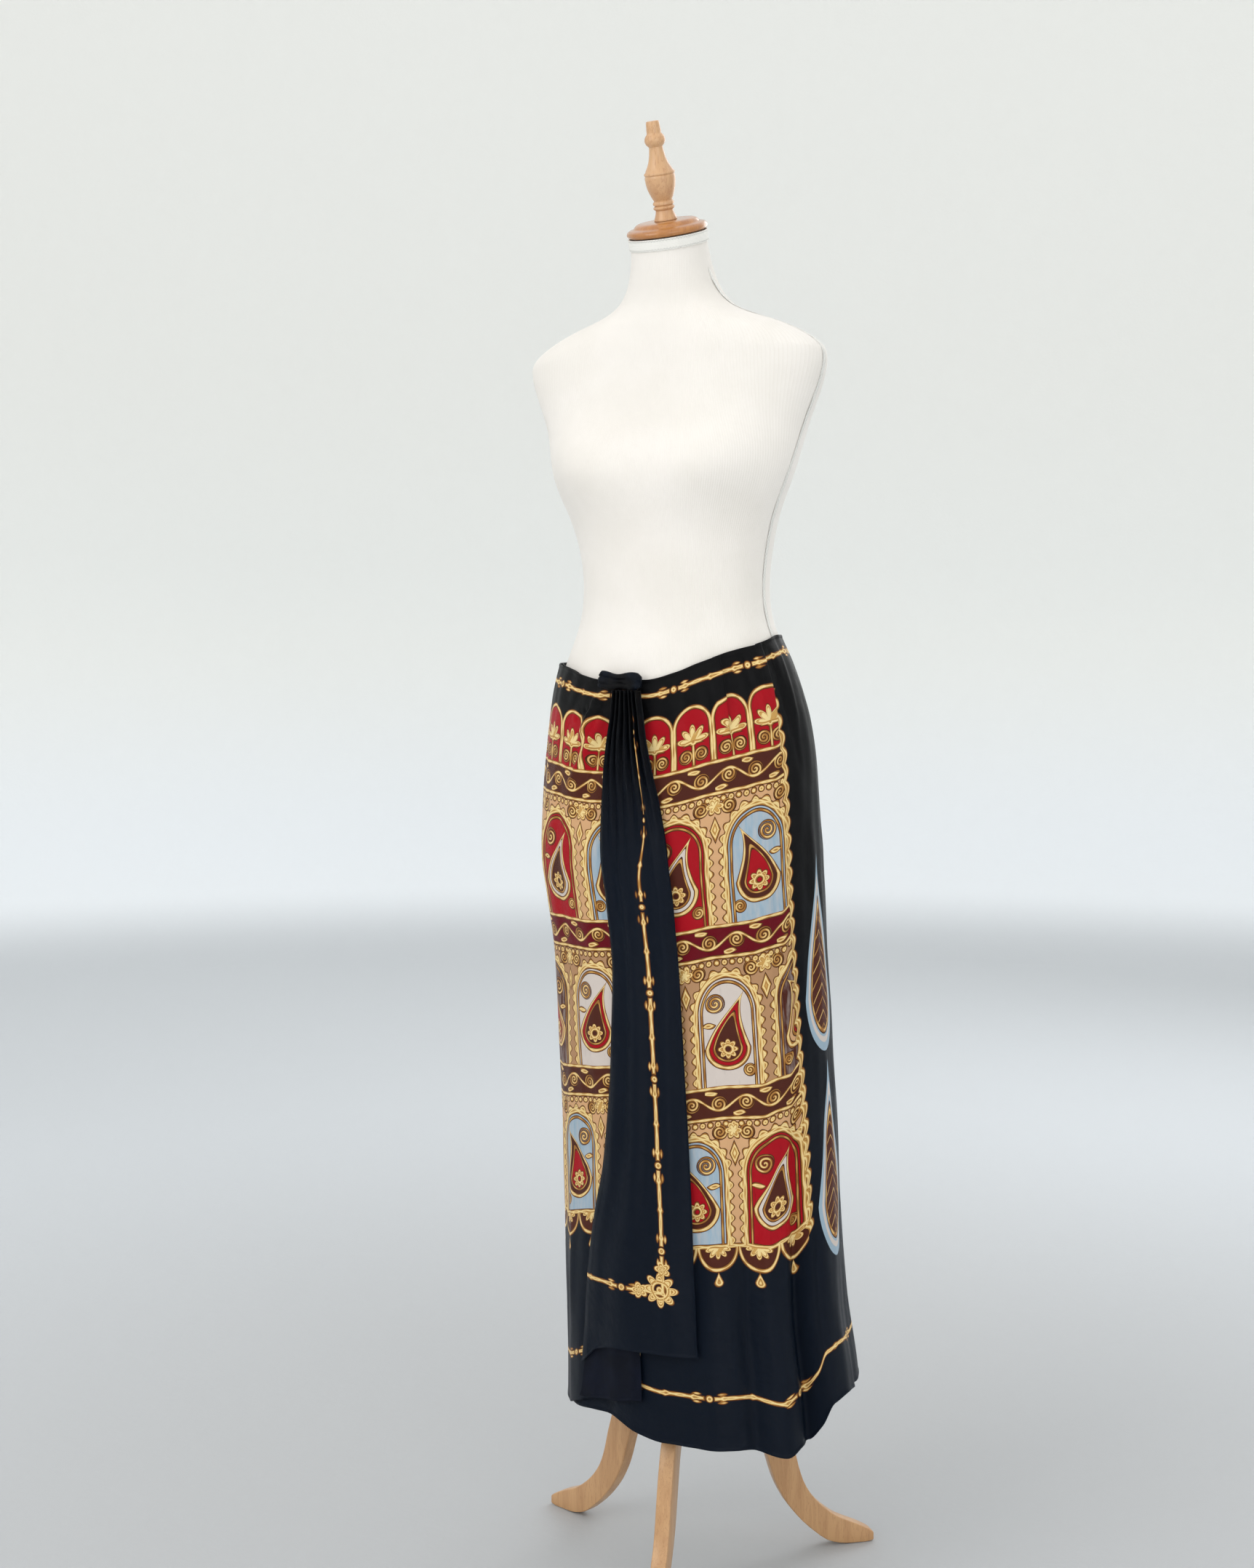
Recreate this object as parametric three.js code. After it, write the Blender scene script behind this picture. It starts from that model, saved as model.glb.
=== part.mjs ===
// A long silk wrap skirt with a gathered front tab and a hanging cascade, worn on a limbless dress form.
// Millimetres, +Z up. The front faces -Y and the wearer's left is +X. Angles round the body are in degrees,
// from the front towards the wearer's left.
import * as THREE from 'three';

// Heights on the skirt and the form are measured from this far above the floor
const BASE = 28;

// Cloth
const WALL = 1.2;            // thickness of a cloth wall
const GAP = 0.3;             // between pieces that touch
const LAYER = 4;             // from one cloth layer to the next, middle to middle
const EDGE_EASE = 2.8;       // from the middle of the cloth to the form at the waist
const HIP_EASE = 3.6;        // the same at the hips
const LEFT_SEAM = 90;        // side seams
const RIGHT_SEAM = -90;
const UNDER_EDGE = -87;      // free edge of the under wrap, hidden inside the right side

// Tab
const TAB_TOP = 1127;
const TAB_FOOT = 1107;
const TAB_THICK = 8;
const TAB_FROM = -17.7;
const TAB_TO = 3.2;

// Form
const FORM_FOOT = 834;       // flat underside of the torso
const NECK_TOP = 1659;
const NECK_FORWARD = -70;    // the neck's top lies this far from the pole
const NECK_TILT = 19;
const NECK_RADIUS = 46.8;
const BAND_HEIGHT = 15;
const BAND_THICK = 1.6;
const TAPE_WIDTH = 7;
const TAPE_THICK = 0.9;
const TAPE_AT = 86;          // the form's side seams
const CAP_HEIGHT = 16;
const FINIAL_HEIGHT = 115;

// Stand
const POLE_RADIUS = 12.5;
const HUB_FLAT = 23;         // from the pole's middle to a flat side of the hub
const HUB_FOOT = 212;
const HUB_TOP = 292;
const LEG_WIDTH = 19;
const LEG_BEVEL = 3;
const LEG_ANGLES = { leg_front: 12, leg_left: 132, leg_right: -108 };

const COLUMNS = 32;          // facets round the torso, the neck band and the neck cap

// Rows with named columns
function table(names, rows) {
  return rows.map((row) => Object.fromEntries(names.map((name, i) => [name, row[i]])));
}

// Slope of a smooth curve through the rows, with no overshoot
function slopeAt(rows, key, column, i) {
  if (i === 0 || i === rows.length - 1) return 0;
  const before = (rows[i][column] - rows[i - 1][column]) / (rows[i][key] - rows[i - 1][key]);
  const after = (rows[i + 1][column] - rows[i][column]) / (rows[i + 1][key] - rows[i][key]);
  return before * after > 0 ? (2 * before * after) / (before + after) : 0;
}

// Value of a column where the key column is x
function look(rows, key, column, x) {
  const last = rows.length - 1;
  if (x <= rows[0][key]) return rows[0][column];
  if (x >= rows[last][key]) return rows[last][column];
  let i = 0;
  while (rows[i + 1][key] < x) i += 1;
  const step = rows[i + 1][key] - rows[i][key];
  const t = (x - rows[i][key]) / step;
  const rise = slopeAt(rows, key, column, i) * step;
  const fall = slopeAt(rows, key, column, i + 1) * step;
  const a = rows[i][column];
  const b = rows[i + 1][column];
  return a + t * (rise + t * (3 * (b - a) - 2 * rise - fall + t * (rise + fall - 2 * (b - a))));
}

const mix = (a, b, t) => a + (b - a) * t;
const rad = THREE.MathUtils.degToRad;
const bump = (x) => Math.exp(-x * x);

// Goes from 0 where x is a to 1 where x is b, softly
function ease(x, a, b) {
  const t = THREE.MathUtils.clamp((x - a) / (b - a), 0, 1);
  return t * t * (3 - 2 * t);
}

// Evenly spaced numbers
function spaced(from, to, count) {
  return Array.from({ length: count + 1 }, (_, i) => mix(from, to, i / count));
}

// Level sections of the hanging skirt: the middle's place, half the width, and half the depth
const skirtSections = table(['z', 'x', 'y', 'half', 'deep'], [
  [140, 40, -8, 195, 138],
  [237, 36, -8, 192, 135],
  [348, 26, -8, 185, 131],
  [532, 19, -10, 181, 128],
  [698, 11, -14, 179, 127],
  [771, 8, -17, 178, 127],
  [845, 3, -23, 181, 129],
  [900, 0, -28, 183, 130],
  [950, 0, -30, 180, 128],
  [1011, 0, -30, 176, 125],
  [1066, 0, -33, 169, 121],
  [1103, 0, -38, 161, 116],
  [1140, 0, -42, 149, 107],
  [1160, 0, -43, 140, 100],
  [1180, 0, -44, 131.5, 94.5],
  [1200, 0, -45, 126, 91],
  [1215, 0, -45, 124, 89.8],
]);

// Sections of the form above the skirt, whose rings tip forward at the neck
const BAND_FOOT = NECK_TOP - BAND_HEIGHT * Math.cos(rad(NECK_TILT));
const formSections = table(['z', 'x', 'y', 'half', 'deep', 'tilt'], [
  [1226, 0, -45, 122, 88.2, 0],
  [1250, 0, -45, 121.9, 88, 0],
  [1276, 0, -46, 125.6, 88, 0],
  [1301, 0, -49, 131.3, 89, 0],
  [1327, 0, -53, 140.5, 91, 0],
  [1352, 0, -56, 152.6, 93, 0],
  [1377, 0, -56, 161.9, 94, 0],
  [1402, 0, -50, 168, 92, 0],
  [1423, 0, -46, 173, 88, 0],
  [1443, 0, -44, 180, 84, 0],
  [1466, 0, -44, 190, 79, 0],
  [1490, 0, -46, 198, 73, 0],
  [1509, 0, -49, 199, 68, 0],
  [1521, 0, -51, 190, 65, 0],
  [1535, 0, -52, 168, 62, 0],
  [1548, 0, -52, 139, 60, 0],
  [1560, 0, -51, 103, 57, 1],
  [1576, 0, -51, 73, 54, 4],
  [1596, 0, -55, 57, 51, 9],
  [1620, 0, -60, 50, 49, 15],
  [BAND_FOOT, 0, NECK_FORWARD + BAND_HEIGHT * Math.sin(rad(NECK_TILT)), NECK_RADIUS, NECK_RADIUS, NECK_TILT],
  [NECK_TOP, 0, NECK_FORWARD, NECK_RADIUS, NECK_RADIUS, NECK_TILT],
]);

// Bust of the form
const BUST_Z = 1381;
const BUST_AT = 29;
const BUST_SPREAD = 20;
const BUST_TALL = 42;
const BUST_OUT = 15;

// The top edge of the skirt and the hems, by angle
const waistLine = table(['at', 'z'], [
  [-180, 1162], [-110, 1142], [-90, 1139], [-70, 1138], [-51, 1134], [-42, 1130.5], [-33, 1124.5],
  [-17, 1118.5], [4, 1119], [18, 1128], [29, 1139], [45, 1152], [67, 1163], [93, 1173], [110, 1173],
  [140, 1170], [180, 1162],
]);
const underHem = table(['at', 'z'], [
  [-90, 200], [-58, 194], [-26, 203.5], [-15, 194], [-2, 187], [13, 188], [28, 191], [36, 187],
  [45, 183], [53, 193], [60, 195], [64, 212], [70, 240], [80, 248], [92, 245],
]);
const backHem = table(['at', 'z'], [[88, 245], [110, 236], [130, 241], [180, 234], [225, 217], [270, 200]]);
const upperHem = table(['at', 'z'], [[-90, 200], [-58, 191], [-26, 221], [-8, 234]]);

// Folds that all the layers share: angle at the hem and at the head, heights where the fold starts and is
// full, how far it spreads, and its depth, out being positive
const drapeFolds = table(['hem', 'head', 'start', 'full', 'spread', 'depth'], [
  [4, 6, 520, 220, 9, -3],
  [20, 22, 620, 240, 8, 5],
  [34.5, 38, 700, 250, 4.5, -9],
  [46, 47, 640, 250, 6, 7],
  [59, 62, 760, 260, 4, -16],
  [76, 74, 700, 240, 10, 8],
  [103, 100, 640, 240, 9, -7],
  [124, 122, 760, 230, 10, 8],
  [143, 146, 600, 230, 8, -9],
  [163, 160, 700, 230, 10, 7],
  [184, 186, 560, 230, 9, -10],
  [205, 202, 680, 230, 11, 7],
  [226, 228, 620, 230, 8, -8],
  [247, 244, 700, 230, 10, 5],
  [312, 316, 560, 230, 9, 4],
  [330, 330, 480, 230, 7, -4],
]);

// Creases drawn from the tab across the upper wrap: places of both ends, spread and depth
const dragFolds = table(['from', 'fromZ', 'to', 'toZ', 'spread', 'depth'], [
  [-17, 1104, -27, 1046, 2.6, 5],
  [-13, 1082, -33, 985, 3.2, 4],
  [-22, 930, -31, 620, 4.5, 4],
]);

// Knife tucks of the under wrap: angle at the waist and at the foot, height of the foot, half the cloth
// that is taken up, how far the fold laps over, and how proud it stands
const tucks = table(['at', 'toAt', 'foot', 'half', 'lap', 'proud'], [
  [38, 41, 1000, 3.6, 3.1, 2.7],
  [65, 64, 985, 3.6, 3.1, 2.7],
]);

// The cascade by height: its inner fold, its outer fold and its free edge
const cascadeEdges = table(['z', 'inner', 'outer', 'free'], [
  [200, -9.5, -44, 14.3],
  [230, -9.5, -41.5, 14.3],
  [305, -9, -37.5, 14.3],
  [355, -9, -35.3, 14.6],
  [422, -8.5, -31.4, 14.4],
  [470, -8, -27.3, 14.4],
  [517, -7.5, -23.4, 14.2],
  [590, -7, -19.4, 14.1],
  [655, -6, -16.6, 14],
  [718, -5, -14.6, 14],
  [796, -4, -12.9, 14.1],
  [857, -3, -12.6, 14.4],
  [918, -2, -13.4, 13.4],
  [963, -1.5, -13.1, 11],
  [1008, -1, -12.4, 7.8],
  [1050, 0, -10.5, 5.4],
  [1080, 1, -8.8, 4.2],
  [1107, 2, -8.2, 3.2],
]);
const cascadeHem = table(['along', 'z'], [[0, 262], [0.15, 284], [0.4, 296], [1, 300]]);
const returnHem = table(['along', 'z'], [[0, 236], [0.3, 229], [0.65, 222], [0.96, 216]]);
const RETURN_TOP = 980;      // above this the fold is lost in the gathers
const TURN_ROOM = 2.8;       // between the returning cloth and the outer fold that it meets
const GATHERS = 7;
const GATHER_DEPTH = 5;
const GATHER_FOOT = 900;

// Soft folds down the cascade: place along it at both ends, both heights, spread and depth
const cascadeFolds = table(['from', 'fromZ', 'to', 'toZ', 'spread', 'depth'], [
  [0.4, 1040, 0.1, 800, 0.09, -2.2],
  [0.66, 1030, 0.6, 560, 0.07, -2],
  [0.36, 860, 0.42, 240, 0.1, 3],
  [0.78, 760, 0.8, 240, 0.08, 2],
]);

// A point of a level section, pushed out from its middle line
function sectionPoint(section, at, out) {
  const across = (section.half + out) * Math.sin(rad(at));
  const forward = -(section.deep + out) * Math.cos(rad(at));
  const tilt = rad(section.tilt ?? 0);
  return new THREE.Vector3(
    section.x + across,
    section.y + forward * Math.cos(tilt),
    section.z + forward * Math.sin(tilt),
  );
}

function sectionOf(rows, z) {
  const section = { z };
  for (const column of ['x', 'y', 'half', 'deep', 'tilt']) {
    section[column] = column in rows[0] ? look(rows, 'z', column, z) : 0;
  }
  return section;
}

// How far the shared folds push the cloth out
function drape(at, z) {
  const angle = at < RIGHT_SEAM + 2 ? at + 360 : at;
  let out = 0;
  for (const fold of drapeFolds) {
    const middle = mix(fold.hem, fold.head, ease(z, fold.full, fold.start));
    let away = angle - middle;
    if (away > 180) away -= 360;
    if (away < -180) away += 360;
    out += fold.depth * bump(away / fold.spread) * ease(z, fold.start, fold.full);
  }
  return out;
}

// A point in the middle of the cloth
function clothPoint(at, z, out) {
  return sectionPoint(sectionOf(skirtSections, z), at, out + drape(at, z));
}

// How far folds that run between two places push the cloth out
function strokes(folds, place, z) {
  let out = 0;
  for (const fold of folds) {
    const way = (fold.fromZ - z) / (fold.fromZ - fold.toZ);
    const fade = ease(way, -0.12, 0.15) * ease(way, 1.15, 0.75);
    const middle = mix(fold.from, fold.to, THREE.MathUtils.clamp(way, 0, 1));
    out += fold.depth * fade * bump((place - middle) / fold.spread);
  }
  return out;
}

// A closed wall along a surface, its middle lifted off the surface
function wall(surface, us, vs, thickness, lift = 0) {
  const columns = us.length;
  const rows = vs.length;
  const positions = [];
  const du = (us[columns - 1] - us[0]) * 1e-4;
  const dv = (vs[rows - 1] - vs[0]) * 1e-4;
  for (const side of [0.5, -0.5]) {
    for (const v of vs) {
      for (const u of us) {
        const alongU = surface(u + du, v).sub(surface(u - du, v));
        const alongV = surface(u, v + dv).sub(surface(u, v - dv));
        const normal = alongU.cross(alongV).normalize();
        positions.push(...surface(u, v).addScaledVector(normal, side * thickness + lift).toArray());
      }
    }
  }
  const top = (i, j) => j * columns + i;
  const under = (i, j) => rows * columns + j * columns + i;
  const faces = [];
  const quad = (a, b, c, d) => faces.push(a, b, c, a, c, d);
  for (let j = 0; j < rows - 1; j += 1) {
    for (let i = 0; i < columns - 1; i += 1) {
      quad(top(i, j), top(i + 1, j), top(i + 1, j + 1), top(i, j + 1));
      quad(under(i, j), under(i, j + 1), under(i + 1, j + 1), under(i + 1, j));
    }
    quad(top(0, j), top(0, j + 1), under(0, j + 1), under(0, j));
    quad(top(columns - 1, j), under(columns - 1, j), under(columns - 1, j + 1), top(columns - 1, j + 1));
  }
  for (let i = 0; i < columns - 1; i += 1) {
    quad(top(i, 0), under(i, 0), under(i + 1, 0), top(i + 1, 0));
    quad(top(i, rows - 1), top(i + 1, rows - 1), under(i + 1, rows - 1), under(i, rows - 1));
  }
  return closed(positions, faces);
}

// A closed body through rings of points, with a flat cap on both ends
function loft(rings) {
  const count = rings[0].length;
  const positions = rings.flatMap((ring) => ring.flatMap((p) => p.toArray()));
  const faces = [];
  for (let j = 0; j < rings.length - 1; j += 1) {
    for (let i = 0; i < count; i += 1) {
      const next = (i + 1) % count;
      const [a, b] = [j * count + i, j * count + next];
      faces.push(a, b, b + count, a, b + count, a + count);
    }
  }
  for (const [j, turn] of [[0, -1], [rings.length - 1, 1]]) {
    const middle = positions.length / 3;
    const sum = rings[j].reduce((total, p) => total.add(p), new THREE.Vector3());
    positions.push(...sum.divideScalar(count).toArray());
    for (let i = 0; i < count; i += 1) {
      const [a, b] = [j * count + i, j * count + ((i + 1) % count)];
      faces.push(middle, ...(turn > 0 ? [a, b] : [b, a]));
    }
  }
  return closed(positions, faces);
}

// Six times the volume inside the faces, which is negative where they point in
function signedVolume(positions, faces) {
  let sum = 0;
  for (let i = 0; i < faces.length; i += 3) {
    const [a, b, c] = [0, 1, 2].map((k) => new THREE.Vector3().fromArray(positions, 3 * faces[i + k]));
    sum += a.dot(b.cross(c));
  }
  return sum;
}

function closed(positions, faces) {
  if (signedVolume(positions, faces) < 0) faces.reverse();
  const geometry = new THREE.BufferGeometry();
  geometry.setAttribute('position', new THREE.Float32BufferAttribute(positions, 3));
  geometry.setIndex(faces);
  geometry.computeVertexNormals();
  return geometry;
}

// Finishes
const finish = (color, roughness, metalness = 0) =>
  new THREE.MeshStandardMaterial({ color, roughness, metalness });
const printedSilk = finish(0x8c5a3c, 0.45);
const blackSilk = finish(0x14161c, 0.4);
const wrongSide = finish(0x1a2136, 0.6);
const jersey = finish(0xf5eedf, 0.85);
const whiteTape = finish(0xf4f4f2, 0.9);
const varnishedWood = finish(0xcf9550, 0.3);
const paleWood = finish(0xd2a673, 0.4);

const part = new THREE.Group();
function add(name, geometry, material, parent = part) {
  const mesh = new THREE.Mesh(geometry, material);
  mesh.name = name;
  parent.add(mesh);
  return mesh;
}

// Heights down a panel, closer together near the waist
const DROP = [0, 0.03, 0.065, 0.105, 0.15, 0.195, 0.24, 0.29, 0.36, 0.46, 0.57, 0.68, 0.78, 0.87, 0.94, 1];

// The under wrap: it runs from the left side seam across the front, under everything else
function frontLeftPanel() {
  const surface = (u, v) => {
    const z = mix(look(waistLine, 'at', 'z', u), look(underHem, 'at', 'z', u), v);
    let at = u;
    let out = 0;
    for (const tuck of tucks) {
      const head = look(waistLine, 'at', 'z', tuck.at);
      const way = (head - z) / (head - tuck.foot);
      const middle = mix(tuck.at, tuck.toAt, THREE.MathUtils.clamp(way, 0, 1));
      const s = (u - middle) / tuck.half;
      const lapped = 1 - ease(way, 0.15, 0.85);
      const raised = 1 - ease(way, 0.35, 1.1);
      const core = THREE.MathUtils.clamp(s, -1, 1);
      const skirtOut = Math.abs(s) > 1 ? bump((Math.abs(s) - 1) / 1.5) : 1;
      at -= tuck.lap * lapped * Math.sin(Math.PI * core);
      out += tuck.proud * raised * (bump(s / 3) - Math.sin((Math.PI * core) / 2) * skirtOut);
    }
    return clothPoint(at, z, out);
  };
  const us = [
    ...spaced(UNDER_EDGE, -3, 12),
    ...spaced(3, 31, 5),
    ...spaced(34, 41, 9),
    ...spaced(43.5, 58.5, 6),
    ...spaced(61, 68, 9),
    ...spaced(71.5, LEFT_SEAM - 0.06, 4),
  ];
  return wall(surface, us, DROP, WALL);
}

function backPanel() {
  const surface = (at, v) => {
    const round = at > 180 ? at - 360 : at;
    const z = mix(look(waistLine, 'at', 'z', round), look(backHem, 'at', 'z', at), v);
    return clothPoint(at, z, LAYER * ease(at, LEFT_SEAM + 20, LEFT_SEAM + 150));
  };
  return wall(surface, spaced(LEFT_SEAM + 0.06, RIGHT_SEAM + 360 - 0.06, 26), DROP, WALL);
}

// A short length across the front, as an angle
const degreesOf = (length, z) => THREE.MathUtils.radToDeg(length / look(skirtSections, 'z', 'half', z));

const foldAt = (edge, z) => look(cascadeEdges, 'z', edge, z);

// The upper wrap, from the right side seam to the inner fold of the cascade
function frontRightPanel() {
  const surface = (u, v) => {
    const near = mix(RIGHT_SEAM + 0.06, 0, u);
    const z = mix(look(waistLine, 'at', 'z', near), look(upperHem, 'at', 'z', near), v);
    const end = foldAt('inner', z) - degreesOf(WALL / 2 + GAP, z);
    const at = mix(RIGHT_SEAM + 0.06, end, u);
    return clothPoint(at, z, LAYER + strokes(dragFolds, at, z));
  };
  const us = [...spaced(0, 0.6, 11), ...spaced(0.635, 1, 13)];
  return wall(surface, us, DROP, WALL);
}

// The stretch of the cascade that shows its wrong side, from the inner fold back to the outer fold
function cascadeReturn() {
  const surface = (u, v) => {
    const z = mix(RETURN_TOP, look(returnHem, 'along', 'z', u), v);
    const turn = foldAt('outer', z) + degreesOf(WALL / 2 + TURN_ROOM, z);
    const at = mix(foldAt('inner', z), turn, u);
    const out = mix(LAYER - WALL * 0.7, 2 * LAYER, ease(u, -0.12, 0.12));
    return clothPoint(at, z, out);
  };
  const us = [0, 0.03, 0.07, 0.13, 0.3, 0.5, 0.7, 0.85, 1];
  const vs = [0, 0.1, 0.22, 0.34, 0.46, 0.58, 0.7, 0.8, 0.9, 1];
  return wall(surface, us, vs, WALL);
}

// Gathers that leave the tab and spread down the cascade
function gathers(u, z) {
  const strength = GATHER_DEPTH * ease(z, GATHER_FOOT, TAB_FOOT) + 0.8 * ease(z, 700, 900);
  const uneven = u + 0.018 * Math.sin(9.5 * u + z / 90);
  return strength * (0.5 - 0.5 * Math.cos(2 * Math.PI * GATHERS * uneven));
}

// The outermost stretch of the cascade, from the outer fold to the free edge
function cascadeFront() {
  const surface = (u, v) => {
    const z = mix(TAB_FOOT - 2 * GAP, look(cascadeHem, 'along', 'z', u), v);
    const at = mix(foldAt('outer', z), foldAt('free', z), u);
    const turned = mix(2 * LAYER - WALL * 0.7, 3 * LAYER, ease(u, -0.06, 0.07));
    const settled = mix(turned, 2 * LAYER + 1, ease(z, 1010, TAB_FOOT));
    const edge = 1.6 * LAYER * ease(u, 0.8, 1) * ease(z, 1060, 960);
    const folds = strokes(cascadeFolds, u, z) * ease(u, 0, 0.1);
    return clothPoint(at, z, settled - edge + gathers(u, z) + folds);
  };
  const us = [0, 0.018, 0.04, ...spaced(0.07, 1, 4 * GATHERS)];
  const vs = [0, 0.03, 0.07, 0.115, 0.17, 0.235, 0.31, 0.4, 0.5, 0.6, 0.7, 0.8, 0.9, 1];
  return wall(surface, us, vs, WALL);
}

// The folded band that holds the gathers, seated on the upper wrap
function waistTab() {
  const tall = (TAB_TOP - TAB_FOOT) / 2;
  const deep = TAB_THICK / 2;
  const seat = LAYER + WALL / 2 + GAP + deep;
  const stations = [0, 0.03, 0.1, ...spaced(0.25, 0.75, 4), 0.9, 0.97, 1];
  const rings = stations.map((u) => {
    const full = Math.min(1, 0.72 + 4 * Math.min(u, 1 - u));
    const lift = mix(1.5, -1, u);
    return spaced(0, 360, 12).slice(0, -1).map((turn) => {
      const across = Math.sign(Math.cos(rad(turn))) * Math.abs(Math.cos(rad(turn))) ** 0.6;
      const up = Math.sign(Math.sin(rad(turn))) * Math.abs(Math.sin(rad(turn))) ** 0.6;
      const z = (TAB_TOP + TAB_FOOT) / 2 + lift + tall * full * up;
      const out = seat - deep * (1 - full) + deep * full * across;
      return clothPoint(mix(TAB_FROM, TAB_TO, u), z, out);
    });
  });
  return loft(rings);
}

// Sections of the whole form: under the skirt it is the skirt's own section less the ease
function formSection(z) {
  if (z > formSections[0].z) return sectionOf(formSections, z);
  const section = sectionOf(skirtSections, z);
  const room = mix(HIP_EASE, EDGE_EASE, ease(z, 1000, 1120));
  section.half -= room;
  section.deep -= room;
  return section;
}

// A point on the form, pushed out from its skin
function formPoint(at, z, out = 0) {
  const side = (Math.abs(THREE.MathUtils.euclideanModulo(at + 180, 360) - 180) - BUST_AT) / BUST_SPREAD;
  const bust = BUST_OUT * bump(side) * bump((z - BUST_Z) / BUST_TALL);
  return sectionPoint(formSection(z), at, out + bust);
}

// Heights of the form's rings: closer together over the shoulders, where it narrows fast
const SHOULDER = 1490;
const NECK_FOOT = 1575;
const formHeights = [
  ...spaced(FORM_FOOT + 12, formSections[0].z, 14),
  ...spaced(formSections[0].z + 25, SHOULDER - 22, 9),
  ...spaced(SHOULDER, NECK_FOOT, 11),
  ...spaced(NECK_FOOT + 17, BAND_FOOT, 2),
  NECK_TOP,
];

function torso() {
  const round = spaced(0, 360, COLUMNS).slice(0, -1);
  const rings = formHeights.map((z) => round.map((at) => formPoint(at, z)));
  for (const [z, inward] of [[838, 3], [FORM_FOOT, 12]]) {
    const lip = round.map((at) => formPoint(at, formHeights[0], -inward).setZ(z));
    rings.unshift(lip);
  }
  return loft(rings);
}

// A tape that covers one side seam of the form, from the neck band to the underside
function sideTape(side) {
  const heights = formHeights.slice(0, -2);
  const surface = (u, v) => {
    const i = THREE.MathUtils.clamp(Math.floor(v), 0, heights.length - 2);
    const z = mix(heights[i], heights[i + 1], v - i);
    const half = THREE.MathUtils.radToDeg(TAPE_WIDTH / 2 / formSection(z).deep);
    return formPoint(TAPE_AT * side + u * half, z);
  };
  const rows = spaced(0, heights.length - 1, heights.length - 1);
  return wall(surface, [-1, 1], rows, TAPE_THICK, GAP + TAPE_THICK / 2 + 0.1);
}

const garment = new THREE.Group();
garment.position.z = BASE;
part.add(garment);
add('front_left_panel', frontLeftPanel(), printedSilk, garment);
add('back_panel', backPanel(), blackSilk, garment);
add('front_right_panel', frontRightPanel(), printedSilk, garment);
add('cascade_return', cascadeReturn(), wrongSide, garment);
add('cascade_front', cascadeFront(), blackSilk, garment);
add('waist_tab', waistTab(), blackSilk, garment);

const form = new THREE.Group();
form.position.z = BASE;
part.add(form);
add('torso', torso(), jersey, form);
add('side_tape_left', sideTape(1), whiteTape, form);
add('side_tape_right', sideTape(-1), whiteTape, form);

// Turned pieces: a profile of radius and height, spun round the axis and stood upright
function turned(profile, segments) {
  const points = profile.map(([radius, height]) => new THREE.Vector2(radius, height));
  const geometry = new THREE.LatheGeometry(points, segments);
  geometry.rotateX(Math.PI / 2);
  return geometry;
}

// The head of the form is tipped forward with the neck
const head = new THREE.Group();
head.position.set(0, NECK_FORWARD, BASE + NECK_TOP);
head.rotation.x = rad(NECK_TILT);
part.add(head);

const BAND_INSIDE = NECK_RADIUS + GAP;
add('neck_band', turned([
  [BAND_INSIDE, -BAND_HEIGHT + 1],
  [BAND_INSIDE + BAND_THICK, -BAND_HEIGHT + 1],
  [BAND_INSIDE + BAND_THICK, -0.5],
  [BAND_INSIDE, -0.5],
  [BAND_INSIDE, -BAND_HEIGHT + 1],
], COLUMNS), whiteTape, head);

add('neck_cap', turned([
  [0, GAP],
  [46.7, GAP],
  [48.7, 2.2],
  [49.5, 5],
  [48.6, 7.8],
  [45.7, 9.7],
  [41, 10.8],
  [38.4, 12.9],
  [35.7, 15.1],
  [31.5, CAP_HEIGHT],
  [0, CAP_HEIGHT],
], 28), varnishedWood, head);

const FINIAL_FOOT = CAP_HEIGHT + GAP;
const finialProfile = [
  [0, 0], [14, 0], [13.6, 2.2], [11.6, 7.8], [10.6, 12.2], [12.6, 13.2], [13, 14.8], [12.2, 16.4],
  [10.8, 17.1], [12.6, 18.3], [13, 20], [12, 21.8], [11, 22.8], [15.4, 32.2], [18, 41.8], [18.5, 49.6],
  [17.8, 53.1], [18.9, 54.5], [17.6, 56.1], [12.8, 65.3], [9.4, 76.6], [8.4, 85.4], [11.6, 88.8],
  [12.6, 93.2], [11.4, 97.6], [8.8, 100.2], [8.6, 102.8], [7.8, FINIAL_HEIGHT], [0, FINIAL_HEIGHT],
];
add('finial', turned(finialProfile.map(([radius, height]) => [radius, height + FINIAL_FOOT]), 14),
  paleWood, head);

// The pole stands on the hub and carries the torso
const stand = new THREE.Group();
part.add(stand);
const poleLength = BASE + FORM_FOOT - GAP - (HUB_TOP + GAP);
const pole = new THREE.CylinderGeometry(POLE_RADIUS, POLE_RADIUS, poleLength, 16).rotateX(Math.PI / 2);
add('pole', pole, paleWood, stand).position.z = HUB_TOP + GAP + poleLength / 2;

// The hub has six flat sides, and a leg is seated on every second one
const hubRadius = HUB_FLAT / Math.cos(Math.PI / 6);
const hub = new THREE.CylinderGeometry(hubRadius, hubRadius, HUB_TOP - HUB_FOOT, 6).rotateX(Math.PI / 2);
const hubMesh = add('leg_hub', hub, paleWood, stand);
hubMesh.position.z = (HUB_TOP + HUB_FOOT) / 2;
hubMesh.rotation.z = rad(LEG_ANGLES.leg_front + 30);

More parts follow.
